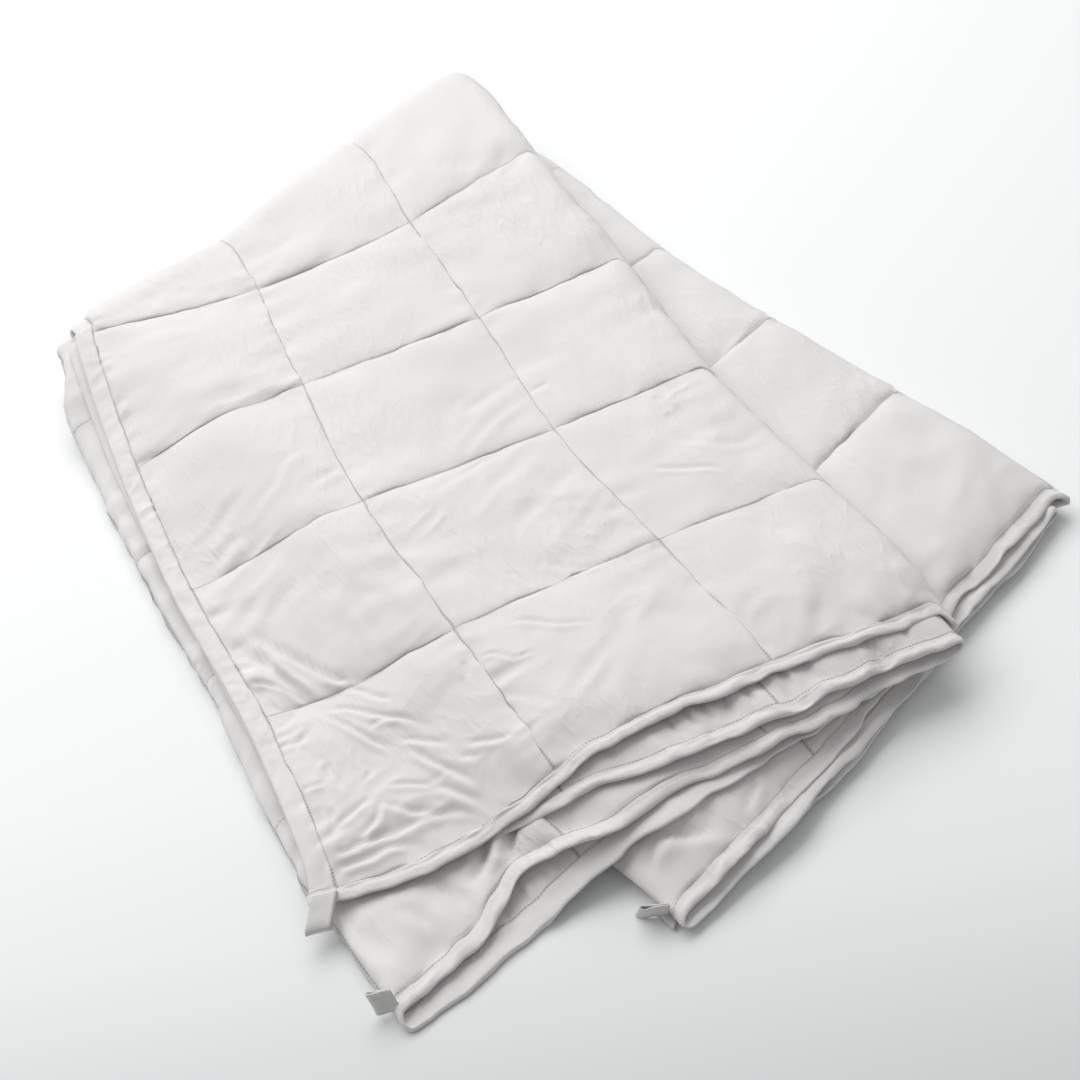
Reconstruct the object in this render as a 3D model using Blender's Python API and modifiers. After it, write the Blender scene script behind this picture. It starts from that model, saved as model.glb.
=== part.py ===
"""A quilted weighted blanket, folded in half three times and lying flat.

Metres, +Z up. The origin is the middle of the footprint, on the surface.
The cloth is one sheet of 12 by 10 square cells. Its long way (u) goes back and
forth in four layers; the pack of four is then turned over a slanting back
fold, so that eight layers lie on each other, the lower four fanned out to the
right. The folding is one smooth map from the flat cloth to space.
"""

import bmesh
import bpy
import numpy as np

# ---------------------------------------------------------------- sizes
CELL = 0.150      # spacing of the quilting seams, measured flat
MARGIN = 0.015    # stitched flange outside the outer seam
COLUMNS = 12      # cells along u
ROWS = 10         # cells along v
FLAT_U = COLUMNS * CELL + 2 * MARGIN
FLAT_V = ROWS * CELL + 2 * MARGIN
QUARTER = FLAT_U / 4
PITCH = 0.0074    # one layer of the pack to the next
CROWN = 0.0052    # thickness in the middle of a cell
SEAM = 0.0018     # thickness along a seam and in the flange
UNDERSIDE = 0.0060   # whatever faces down below this height lies on the surface
CENTRE = (0.2785, -0.2604)   # middle of the footprint, taken off at the end

RIBBON_WIDTH = 0.016
RIBBON_THICK = 0.0009
RIBBON_GAP = 0.0011

# ------------------------------------------------------- plan of the folds
# Plan positions of the seam crossings of the uppermost layer. A row is a cross
# seam, counted from the front edge; the columns are where the left seam, the
# second seam, the third seam and the right fold cross it.
ACROSS = np.array([0.0, 0.150, 0.300, 0.440])
TOP_PLAN = [
    # x left, x second, x third, x fold, y left, y second, y third, y fold
    (0.002, 0.148, 0.307, 0.442, -0.580, -0.583, -0.579, -0.587),
    (0.003, 0.139, 0.296, 0.435, -0.435, -0.451, -0.449, -0.455),
    (-0.006, 0.130, 0.284, 0.426, -0.295, -0.304, -0.308, -0.303),
    (-0.005, 0.136, 0.291, 0.434, -0.153, -0.158, -0.158, -0.151),
    (0.003, 0.145, 0.290, 0.432, 0.006, -0.022, -0.016, 0.020),
]
TOP_X = np.array([row[:4] for row in TOP_PLAN])
TOP_Y = np.array([row[4:] for row in TOP_PLAN])
# How far the lowest of the upper four layers lies to the side of the uppermost
# at the left fold, by cross seam.
SHIFT_X = np.array([0.010, -0.012, -0.006, -0.018, -0.030])
# How far each layer lies in front of the uppermost, by column, lowest first.
LAYER_HEIGHTS = (0.5, 1.5, 2.5, 3.5)
SHIFT_Y = np.array([
    (-0.082, -0.051, -0.038, -0.003),
    (-0.072, -0.037, -0.037, -0.013),
    (-0.001, -0.010, -0.025, -0.014),
    (0.0, 0.0, 0.0, 0.0),
])
# Plan of the lower four layers, from seam 6 on: left fold x, y, right fold x, y.
LOW_PLAN = np.array([
    (0.036, -0.098, 0.467, 0.037),
    (0.074, -0.253, 0.489, -0.115),
    (0.105, -0.405, 0.521, -0.247),
    (0.136, -0.552, 0.556, -0.376),
    (0.170, -0.693, 0.589, -0.510),
])
# The back fold: x, y of the innermost turn, y of the outermost turn.
BACK_PLAN = np.array([
    (-0.010, 0.024, 0.050),
    (0.137, 0.057, 0.082),
    (0.285, 0.112, 0.142),
    (0.427, 0.150, 0.197),
])
BACK_WAY = (-0.20, 0.98)     # which way the back fold faces
# Edges of the lower four layers, which carry the upper ones: x, y to x, y.
LOW_LEFT_EDGE = (-0.025, 0.075, 0.158, -0.675)
LOW_FRONT_EDGE = (0.176, -0.703, 0.590, -0.535)
DRAPE = (0.070, 0.120)       # how far outside the left edge the slope ends, its width

# Ribbon loops, each sewn to a stretch of an edge. GAP parts them from the blanket.
GAP = 0.0003
LOOPS = [
    # name, length, drop, u and q where the stretch starts and ends, half the edge's thickness, way
    ("loop_corner_top", 0.026, 0.0020, (0.001, -0.1), (0.017, -0.1), 0.0, (-0.24, -0.95, -0.12)),
    ("loop_side_top", 0.022, 0.0020, (0.915, -0.1), (0.915, 0.007), SEAM / 2, (-0.99, -0.10, -0.08)),
    ("loop_side_low", 0.020, 0.0030, (0.915, 10.1), (0.915, 9.993), SEAM / 2, (-0.97, -0.20, -0.15)),
    ("loop_corner_low", 0.016, 0.0005, (0.0, 10.07), (0.0, 9.963), 0.0, (-0.97, -0.22, 0.0)),
]


def step(t):
    t = np.clip(t, 0.0, 1.0)
    return t * t * (3 - 2 * t)


def weights(knots, t):
    """Cubic Hermite weights of t among the knots, straight on beyond the ends."""
    knots = np.asarray(knots, float)
    t = np.asarray(t, float)
    n = len(knots)
    i = np.clip(np.searchsorted(knots, t, side="right") - 1, 0, n - 2)
    h = knots[i + 1] - knots[i]
    s = (t - knots[i]) / h
    w = np.zeros(t.shape + (n,))
    here = tuple(np.indices(t.shape))
    c = np.clip(s, 0, 1)
    np.add.at(w, here + (i,), 2 * c**3 - 3 * c**2 + 1)
    np.add.at(w, here + (i + 1,), -2 * c**3 + 3 * c**2)
    for which, slope in ((i, (c**3 - 2 * c**2 + c) * h), (i + 1, (c**3 - c**2) * h)):
        low, high = np.clip(which - 1, 0, n - 1), np.clip(which + 1, 0, n - 1)
        apart = knots[high] - knots[low]
        np.add.at(w, here + (high,), slope / apart)
        np.add.at(w, here + (low,), -slope / apart)
    for outside, first, second in ((s < 0, 0, 1), (s > 1, n - 1, n - 2)):
        if outside.any():
            far = (t[outside] - knots[first]) / (knots[second] - knots[first])
            w[outside] = 0
            w[outside, first] = 1 - far
            w[outside, second] = far
    return w


def quarter_turn(rx, ry):
    """Angle against length of a quarter of an ellipse, from its flat side."""
    angle = np.linspace(0, np.pi / 2, 40)
    part = np.hypot(np.diff(rx * np.sin(angle)), np.diff(ry * np.cos(angle)))
    return angle, np.concatenate([[0], np.cumsum(part)])


# The four layers across u: end a, end a, level, turn at the start, turn at the
# end. A turn is its half width, its half height and the way it goes, up or down.
OUTER = (0.0115, 1.5 * PITCH)
LEFT = (0.0055, 0.5 * PITCH)
INNER = (0.0045, 0.5 * PITCH)
LAYERS = [
    (-MARGIN, 0.440, 3.5, None, OUTER + (-1,)),
    (0.440, -0.012, 0.5, OUTER + (1,), LEFT + (1,)),
    (-0.012, 0.4255, 1.5, LEFT + (-1,), INNER + (1,)),
    (0.4255, -0.010, 2.5, INNER + (-1,), None),
]


def section(u):
    """Across the pack: a, metres from the left seam, and g, layers up."""
    u = np.asarray(u, float)
    a, g = np.zeros_like(u), np.zeros_like(u)
    for k, (start, end, level, turn_in, turn_out) in enumerate(LAYERS):
        m = np.clip(np.floor(u / QUARTER), 0, 3) == k
        way = 1.0 if end > start else -1.0
        before, after = 0.0, 0.0
        if turn_in:
            angle_in, length_in = quarter_turn(*turn_in[:2])
            before = length_in[-1]
        if turn_out:
            angle_out, length_out = quarter_turn(*turn_out[:2])
            after = length_out[-1]
        first = start + (way * turn_in[0] if turn_in else 0)
        last = end - (way * turn_out[0] if turn_out else 0)
        straight = abs(last - first)
        d = (u[m] / QUARTER - k) * (before + straight + after)
        aa = first + way * np.clip(d - before, 0, straight)
        gg = np.full(d.shape, level)
        if turn_in:
            k_in = d < before
            th = np.interp(before - d[k_in], length_in, angle_in)
            aa[k_in] = first - way * turn_in[0] * np.sin(th)
            gg[k_in] = level + turn_in[2] * turn_in[1] / PITCH * (1 - np.cos(th))
        if turn_out:
            k_out = d > before + straight
            th = np.interp(d[k_out] - before - straight, length_out, angle_out)
            aa[k_out] = last + way * turn_out[0] * np.sin(th)
            gg[k_out] = level + turn_out[2] * turn_out[1] / PITCH * (1 - np.cos(th))
        a[m], g[m] = aa, gg
    return a, g


def inside(edge, x, y):
    """Distance of x, y to the left of an edge, seen along it from above."""
    x0, y0, x1, y1 = edge
    long = np.hypot(x1 - x0, y1 - y0)
    return ((y - y0) * (x1 - x0) - (x - x0) * (y1 - y0)) / long


def swell(x, y):
    """The pack stands higher towards its back right corner, where two folds meet."""
    return 1 + 0.48 * step((x - 0.03) / 0.38) * step((y + 0.25) / 0.38)


def tight(q):
    """The layers lie closer along the open front edges."""
    return 1 - 0.12 * (1 - step((np.minimum(q, ROWS - q) + 0.1) / 0.45))


def plan_top(a, g, q):
    across = weights(ACROSS, a)
    along = weights(np.arange(5.0), np.minimum(q, 4.0))
    x = np.einsum("...i,ij,...j->...", along, TOP_X, across)
    y = np.einsum("...i,ij,...j->...", along, TOP_Y, across)
    below = np.clip((3.5 - g) / 2.2, 0, 1)
    x = x + below * (1 - step((a + 0.012) / 0.36)) * (along @ SHIFT_X)
    forward = np.stack([np.interp(g, LAYER_HEIGHTS, column) for column in SHIFT_Y.T], -1)
    return x, y + (across * forward).sum(-1)


def plan_low(a, g, q):
    row = weights(np.arange(6.0, 11.0), np.maximum(q, 6.0)) @ LOW_PLAN
    t = (a + 0.012) / 0.452
    x = row[..., 0] + (row[..., 2] - row[..., 0]) * t
    y = row[..., 1] + (row[..., 3] - row[..., 1]) * t
    forward = np.interp(g, LAYER_HEIGHTS, [0.0, 0.008, 0.009, -0.004])
    return x + 0.36 * forward, y - 0.93 * forward


def carried(x, y):
    """1 over the lower four layers, 0 beside them, where the upper ones reach the surface."""
    beside = 1 - step((inside(LOW_LEFT_EDGE, x, y) + DRAPE[0]) / DRAPE[1])
    return 1 - beside * step((0.03 - y) / 0.14)


def height_top(x, y, g, q):
    ahead = 1 - step((inside(LOW_FRONT_EDGE, x, y) + 0.03) / 0.08)
    return (4 * PITCH * carried(x, y) * (1 - 0.25 * ahead) + PITCH * g * tight(q)) * swell(x, y)


def height_low(x, y, g, q):
    return PITCH * (4 - g) * tight(q) * carried(x, y) * swell(x, y)


def between(p0, way0, p1, way1, s):
    """Cubic curve in plan from p0 to p1 with the given ways at its ends."""
    h0, h1, h2, h3 = 2 * s**3 - 3 * s**2 + 1, s**3 - 2 * s**2 + s, 3 * s**2 - 2 * s**3, s**3 - s**2
    return [h0 * p0[i] + h1 * way0[i] + h2 * p1[i] + h3 * way1[i] for i in (0, 1)]


def folded(u, q):
    """Where the middle of the cloth lies: u in metres, q in rows of cells.

    Also returns v, metres from the first edge, which the back fold spreads.
    """
    u, q = np.broadcast_arrays(np.asarray(u, float), np.asarray(q, float))
    a, g = section(u)
    place = np.zeros(a.shape + (3,))
    v = MARGIN + CELL * q
    for part, plan, height in ((q <= 4, plan_top, height_top), (q >= 6, plan_low, height_low)):
        x, y = plan(a[part], g[part], q[part])
        place[part] = np.stack([x, y, height(x, y, g[part], q[part])], -1)
    m = (q > 4) & (q < 6)
    if not m.any():
        return place, v
    a, g, t = a[m], g[m], (q[m] - 4) / 2
    four, six = np.full_like(t, 4.0), np.full_like(t, 6.0)
    above, near = plan_top(a, g, four), plan_top(a, g, four - 0.1)
    below, next_ = plan_low(a, g, six), plan_low(a, g, six + 0.1)
    back = weights(ACROSS, a) @ BACK_PLAN
    out = np.clip((g - 0.5) / 3.0, -0.1, 1.1)
    depth = 0.0042 + 0.0088 * (g - 0.5)
    turn = (
        back[..., 0] - depth * BACK_WAY[0],
        back[..., 1] * (1 - out) + back[..., 2] * out - depth * BACK_WAY[1],
    )
    high, low = height_top(*turn, g, four), height_low(*turn, g, six)
    half = (high - low) / 2
    reach_top = np.hypot(turn[0] - above[0], turn[1] - above[1])
    reach_low = np.hypot(turn[0] - below[0], turn[1] - below[1])
    bend = np.pi * np.sqrt((depth**2 + half**2) / 2)
    s1, s2, s3 = np.clip(t / 0.36, 0, 1), np.clip((t - 0.36) / 0.28, 0, 1), np.clip((t - 0.64) / 0.36, 0, 1)
    way_top = [(above[i] - near[i]) / 0.1 / CELL * reach_top for i in (0, 1)]
    way_low = [(next_[i] - below[i]) / 0.1 / CELL * reach_low for i in (0, 1)]
    upper = between(above, way_top, turn, [w * reach_top for w in BACK_WAY], s1)
    lower = between(turn, [-w * reach_low for w in BACK_WAY], below, way_low, s3)
    angle = np.pi * s2
    first, last = t < 0.36, t >= 0.64
    x = np.where(first, upper[0], np.where(last, lower[0], turn[0] + BACK_WAY[0] * depth * np.sin(angle)))
    y = np.where(first, upper[1], np.where(last, lower[1], turn[1] + BACK_WAY[1] * depth * np.sin(angle)))
    z = np.where(
        first,
        height_top(*upper, g, four),
        np.where(last, height_low(*lower, g, six), (high + low) / 2 + half * np.cos(angle)),
    )
    place[m] = np.stack([x, y, z], -1)
    v[m] = MARGIN + 4 * CELL + 2 * CELL * (s1 * reach_top + s2 * bend + s3 * reach_low) / (reach_top + bend + reach_low)
    return place, v


def fullness(u, v):
    """0 along seams and in the flange, up to 1 in a filled cell."""
    fu, fv = (u - MARGIN) / CELL, (v - MARGIN) / CELL
    filled = (fu > 0) & (fu < COLUMNS) & (fv > 0) & (fv < ROWS)
    return np.where(filled, np.abs(np.sin(np.pi * fu) * np.sin(np.pi * fv)) ** 0.15, 0.0)


def clear_scene():
    for obj in list(bpy.data.objects):
        bpy.data.objects.remove(obj, do_unlink=True)


def cloth_material(name, colour, roughness):
    material = bpy.data.materials.new(name)
    material.use_nodes = True
    shader = material.node_tree.nodes["Principled BSDF"]
    shader.inputs["Base Color"].default_value = (*colour, 1.0)
    shader.inputs["Roughness"].default_value = roughness
    shader.inputs["Metallic"].default_value = 0.0
    return material


def grid_object(name, places, full, lowest, collection):
    """A flat grid whose points are moved to the given places, (i, j, xyz).

    One vertex group holds how thick the cloth is, as a share of CROWN, the other
    where it is the lowest layer.
    """
    ni, nj = places.shape[:2]
    bm = bmesh.new()
    share = bm.verts.layers.deform.verify()
    bmesh.ops.create_grid(bm, x_segments=ni - 1, y_segments=nj - 1, size=1.0)
    for vert in bm.verts:
        i = round((vert.co.x + 1) / 2 * (ni - 1))
        j = round((vert.co.y + 1) / 2 * (nj - 1))
        vert.co = places[i, j]
        vert[share][0] = (SEAM + (CROWN - SEAM) * full[i, j]) / CROWN
        vert[share][1] = float(lowest[i, j])
    mesh = bpy.data.meshes.new(name)
    bm.to_mesh(mesh)
    bm.free()
    obj = bpy.data.objects.new(name, mesh)
    obj.vertex_groups.new(name="thickness")
    obj.vertex_groups.new(name="lowest")
    collection.objects.link(obj)
    return obj


def applied(obj):
    """The object with its modifiers made real."""
    bpy.context.view_layer.update()
    graph = bpy.context.evaluated_depsgraph_get()
    mesh = bpy.data.meshes.new_from_object(obj.evaluated_get(graph))
    obj.modifiers.clear()
    obj.data = mesh
    return obj


def cell_lines(count):
    """Seams, and two lines inside each cell, counted in cells, with the flange's edge."""
    lines = [-MARGIN / CELL]
    for k in range(count):
        lines += [k, k + 1 / 3, k + 2 / 3]
    return lines + [count, count + MARGIN / CELL]


def make_quilt(collection):
    across = {round(MARGIN + CELL * k, 5) for k in cell_lines(COLUMNS)}
    for fold, reach in ((QUARTER, 0.0178), (2 * QUARTER, 0.0074), (3 * QUARTER, 0.0066)):
        across = {u for u in across if abs(u - fold) > reach or abs(u - MARGIN - CELL * round((u - MARGIN) / CELL)) < 1e-4}
        across |= {round(fold + reach * k, 5) for k in (-1, -0.5, 0, 0.5, 1)}
    across = sorted(across)
    across = [u for k, u in enumerate(across) if k == 0 or u - across[k - 1] > 0.0012]
    along = [q for q in cell_lines(ROWS) if q <= 4 or q >= 6]
    along += [4 + 2 * t for t in (0.12, 0.24, 0.36)]
    along += [4 + 2 * (0.36 + 0.28 * k / 8) for k in range(1, 9)]
    along += [4 + 2 * t for t in (0.76, 0.88)]
    along = sorted(along)
    u, q = np.meshgrid(across, along, indexing="ij")
    places, v = folded(u, q)
    _, g = section(u)
    lowest = ((q < 4.7) & (g < 0.8)) | ((q > 5.3) & (g > 3.2))
    quilt = grid_object("quilt", places, fullness(u, v), lowest, collection)
    shell = quilt.modifiers.new("thickness", "SOLIDIFY")
    shell.thickness = CROWN
    shell.offset = 0.0
    shell.vertex_group = "thickness"
    shell.use_rim = True
    applied(quilt)
    # The weight of the filling presses the underside flat on the surface.
    for vert in quilt.data.vertices:
        under = any(group.group == 1 and group.weight > 0.5 for group in vert.groups)
        if under and vert.normal.z < -0.3 and vert.co.z < UNDERSIDE:
            vert.co.z = 0.0
    return quilt


def make_loop(name, length, drop, start, end, edge, way, collection):
    """A ribbon bent double, sewn to the stretch of edge from start to end.

    It leaves along way and comes back over itself.
    """
    ends, _ = folded(*np.array([start, end]).T)
    side = (ends[1] - ends[0]) / np.linalg.norm(ends[1] - ends[0])
    way = np.array(way) / np.linalg.norm(way)
    up = np.cross(way, side)
    up = up / np.linalg.norm(up) * np.sign(up[2])
    out = np.cross(side, up)
    out = out * np.sign(out @ way)
    root = ends.mean(0) + out * (edge + GAP)
    half = (RIBBON_THICK + RIBBON_GAP) / 2
    turn = [(length - half + half * np.sin(t), half * np.cos(t)) for t in np.linspace(0, np.pi, 9)]
    path = [(0.0, half), (length * 0.5, half)] + turn + [(length * 0.5, -half), (0.0, -half)]
    across = np.linspace(-0.5, 0.5, 3) * RIBBON_WIDTH
    places = np.array([
        [root + way * along + up * (lift - drop * (along / length) ** 2) + side * a for a in across]
        for along, lift in path
    ])
    everywhere = np.ones(places.shape[:2])
    loop = grid_object(name, places, everywhere, everywhere, collection)
    shell = loop.modifiers.new("thickness", "SOLIDIFY")
    shell.thickness = RIBBON_THICK
    shell.offset = 0.0
    shell.use_rim = True
    return applied(loop)


def main():
    clear_scene()
    parts = bpy.data.collections.new("blanket")
    bpy.context.scene.collection.children.link(parts)
    quilt = make_quilt(parts)
    quilt.data.materials.append(cloth_material("quilt_cloth", (0.76, 0.75, 0.73), 0.9))
    for row in LOOPS:
        loop = make_loop(*row, parts)
        loop.data.materials.append(cloth_material(row[0] + "_ribbon", (0.78, 0.77, 0.75), 0.8))
    for obj in parts.objects:
        for vert in obj.data.vertices:
            vert.co.x -= CENTRE[0]
            vert.co.y -= CENTRE[1]
        obj.data.update()


main()
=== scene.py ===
"""Looks of the folded weighted blanket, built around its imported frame.

The cloth is the same folding map as in the CAD model, sampled finely where it
shows, with quilting, puckers, creases and stitches worked into the mesh.
Metres, +Z up, origin in the middle of the footprint on the surface.
"""

import bpy
import numpy as np
from mathutils import Matrix


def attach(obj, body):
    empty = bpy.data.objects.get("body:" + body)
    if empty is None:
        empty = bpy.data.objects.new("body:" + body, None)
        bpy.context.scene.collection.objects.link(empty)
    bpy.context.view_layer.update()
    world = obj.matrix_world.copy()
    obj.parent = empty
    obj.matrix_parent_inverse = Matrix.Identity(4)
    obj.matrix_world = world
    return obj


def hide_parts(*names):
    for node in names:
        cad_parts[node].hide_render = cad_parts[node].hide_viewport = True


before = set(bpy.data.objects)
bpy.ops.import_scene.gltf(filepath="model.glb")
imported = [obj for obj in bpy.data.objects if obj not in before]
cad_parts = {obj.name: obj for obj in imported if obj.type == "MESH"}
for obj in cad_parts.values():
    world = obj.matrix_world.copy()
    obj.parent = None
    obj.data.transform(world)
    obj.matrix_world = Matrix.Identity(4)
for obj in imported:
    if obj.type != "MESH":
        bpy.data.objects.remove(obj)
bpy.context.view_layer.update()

# ---------------------------------------------------------------- sizes
CELL = 0.150
MARGIN = 0.015
COLUMNS = 12
ROWS = 10
FLAT_U = COLUMNS * CELL + 2 * MARGIN
FLAT_V = ROWS * CELL + 2 * MARGIN
QUARTER = FLAT_U / 4
PITCH = 0.0074
SEAM = 0.0018
CENTRE = (0.2785, -0.2604)

# ------------------------------------------------------- plan of the folds
ACROSS = np.array([0.0, 0.150, 0.300, 0.440])
TOP_PLAN = [
    # x left, x second, x third, x fold, y left, y second, y third, y fold
    (0.002, 0.148, 0.307, 0.442, -0.580, -0.583, -0.579, -0.587),
    (0.003, 0.139, 0.296, 0.435, -0.435, -0.451, -0.449, -0.455),
    (-0.006, 0.130, 0.284, 0.426, -0.295, -0.304, -0.308, -0.303),
    (-0.005, 0.136, 0.291, 0.434, -0.153, -0.158, -0.158, -0.151),
    (0.003, 0.145, 0.290, 0.432, 0.006, -0.022, -0.016, 0.020),
]
TOP_X = np.array([row[:4] for row in TOP_PLAN])
TOP_Y = np.array([row[4:] for row in TOP_PLAN])
SHIFT_X = np.array([0.010, -0.012, -0.006, -0.018, -0.030])
LAYER_HEIGHTS = (0.5, 1.5, 2.5, 3.5)
SHIFT_Y = np.array([
    (-0.082, -0.051, -0.038, -0.003),
    (-0.072, -0.037, -0.037, -0.013),
    (-0.001, -0.010, -0.025, -0.014),
    (0.0, 0.0, 0.0, 0.0),
])
LOW_PLAN = np.array([
    (0.036, -0.098, 0.467, 0.037),
    (0.074, -0.253, 0.489, -0.115),
    (0.105, -0.405, 0.521, -0.247),
    (0.136, -0.552, 0.556, -0.376),
    (0.170, -0.693, 0.589, -0.510),
])
BACK_PLAN = np.array([
    (-0.010, 0.024, 0.050),
    (0.137, 0.057, 0.082),
    (0.285, 0.112, 0.142),
    (0.427, 0.150, 0.197),
])
BACK_WAY = (-0.20, 0.98)
LOW_LEFT_EDGE = (-0.025, 0.075, 0.158, -0.675)
LOW_FRONT_EDGE = (0.176, -0.703, 0.590, -0.535)
DRAPE = (0.070, 0.120)


def step(t):
    t = np.clip(t, 0.0, 1.0)
    return t * t * (3 - 2 * t)


def weights(knots, t):
    """Cubic Hermite weights of t among the knots, straight on beyond the ends."""
    knots = np.asarray(knots, float)
    t = np.asarray(t, float)
    n = len(knots)
    i = np.clip(np.searchsorted(knots, t, side="right") - 1, 0, n - 2)
    h = knots[i + 1] - knots[i]
    s = (t - knots[i]) / h
    w = np.zeros(t.shape + (n,))
    here = tuple(np.indices(t.shape))
    c = np.clip(s, 0, 1)
    np.add.at(w, here + (i,), 2 * c**3 - 3 * c**2 + 1)
    np.add.at(w, here + (i + 1,), -2 * c**3 + 3 * c**2)
    for which, slope in ((i, (c**3 - 2 * c**2 + c) * h), (i + 1, (c**3 - c**2) * h)):
        low, high = np.clip(which - 1, 0, n - 1), np.clip(which + 1, 0, n - 1)
        apart = knots[high] - knots[low]
        np.add.at(w, here + (high,), slope / apart)
        np.add.at(w, here + (low,), -slope / apart)
    for outside, first, second in ((s < 0, 0, 1), (s > 1, n - 1, n - 2)):
        if outside.any():
            far = (t[outside] - knots[first]) / (knots[second] - knots[first])
            w[outside] = 0
            w[outside, first] = 1 - far
            w[outside, second] = far
    return w


def quarter_turn(rx, ry):
    """Angle against length of a quarter of an ellipse, from its flat side."""
    angle = np.linspace(0, np.pi / 2, 40)
    part = np.hypot(np.diff(rx * np.sin(angle)), np.diff(ry * np.cos(angle)))
    return angle, np.concatenate([[0], np.cumsum(part)])


OUTER = (0.0115, 1.5 * PITCH)
LEFT = (0.0055, 0.5 * PITCH)
INNER = (0.0045, 0.5 * PITCH)
LAYERS = [
    (-MARGIN, 0.440, 3.5, None, OUTER + (-1,)),
    (0.440, -0.012, 0.5, OUTER + (1,), LEFT + (1,)),
    (-0.012, 0.4255, 1.5, LEFT + (-1,), INNER + (1,)),
    (0.4255, -0.010, 2.5, INNER + (-1,), None),
]


def section(u):
    """Across the pack: a, metres from the left seam, and g, layers up."""
    u = np.asarray(u, float)
    a, g = np.zeros_like(u), np.zeros_like(u)
    for k, (start, end, level, turn_in, turn_out) in enumerate(LAYERS):
        m = np.clip(np.floor(u / QUARTER), 0, 3) == k
        way = 1.0 if end > start else -1.0
        before, after = 0.0, 0.0
        if turn_in:
            angle_in, length_in = quarter_turn(*turn_in[:2])
            before = length_in[-1]
        if turn_out:
            angle_out, length_out = quarter_turn(*turn_out[:2])
            after = length_out[-1]
        first = start + (way * turn_in[0] if turn_in else 0)
        last = end - (way * turn_out[0] if turn_out else 0)
        straight = abs(last - first)
        d = (u[m] / QUARTER - k) * (before + straight + after)
        aa = first + way * np.clip(d - before, 0, straight)
        gg = np.full(d.shape, level)
        if turn_in:
            k_in = d < before
            th = np.interp(before - d[k_in], length_in, angle_in)
            aa[k_in] = first - way * turn_in[0] * np.sin(th)
            gg[k_in] = level + turn_in[2] * turn_in[1] / PITCH * (1 - np.cos(th))
        if turn_out:
            k_out = d > before + straight
            th = np.interp(d[k_out] - before - straight, length_out, angle_out)
            aa[k_out] = last + way * turn_out[0] * np.sin(th)
            gg[k_out] = level + turn_out[2] * turn_out[1] / PITCH * (1 - np.cos(th))
        a[m], g[m] = aa, gg
    return a, g


def inside(edge, x, y):
    x0, y0, x1, y1 = edge
    long = np.hypot(x1 - x0, y1 - y0)
    return ((y - y0) * (x1 - x0) - (x - x0) * (y1 - y0)) / long


def swell(x, y):
    return 1 + 0.48 * step((x - 0.03) / 0.38) * step((y + 0.25) / 0.38)


def tight(q):
    return 1 - 0.12 * (1 - step((np.minimum(q, ROWS - q) + 0.1) / 0.45))


def plan_top(a, g, q):
    across = weights(ACROSS, a)
    along = weights(np.arange(5.0), np.minimum(q, 4.0))
    x = np.einsum("...i,ij,...j->...", along, TOP_X, across)
    y = np.einsum("...i,ij,...j->...", along, TOP_Y, across)
    below = np.clip((3.5 - g) / 2.2, 0, 1)
    x = x + below * (1 - step((a + 0.012) / 0.36)) * (along @ SHIFT_X)
    forward = np.stack([np.interp(g, LAYER_HEIGHTS, column) for column in SHIFT_Y.T], -1)
    return x, y + (across * forward).sum(-1)


def plan_low(a, g, q):
    row = weights(np.arange(6.0, 11.0), np.maximum(q, 6.0)) @ LOW_PLAN
    t = (a + 0.012) / 0.452
    x = row[..., 0] + (row[..., 2] - row[..., 0]) * t
    y = row[..., 1] + (row[..., 3] - row[..., 1]) * t
    forward = np.interp(g, LAYER_HEIGHTS, [0.0, 0.008, 0.009, -0.004])
    return x + 0.36 * forward, y - 0.93 * forward


def carried(x, y):
    beside = 1 - step((inside(LOW_LEFT_EDGE, x, y) + DRAPE[0]) / DRAPE[1])
    return 1 - beside * step((0.03 - y) / 0.14)


def height_top(x, y, g, q):
    ahead = 1 - step((inside(LOW_FRONT_EDGE, x, y) + 0.03) / 0.08)
    return (4 * PITCH * carried(x, y) * (1 - 0.25 * ahead) + PITCH * g * tight(q)) * swell(x, y)


def height_low(x, y, g, q):
    return PITCH * (4 - g) * tight(q) * carried(x, y) * swell(x, y)


def between(p0, way0, p1, way1, s):
    h0, h1, h2, h3 = 2 * s**3 - 3 * s**2 + 1, s**3 - 2 * s**2 + s, 3 * s**2 - 2 * s**3, s**3 - s**2
    return [h0 * p0[i] + h1 * way0[i] + h2 * p1[i] + h3 * way1[i] for i in (0, 1)]


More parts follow.
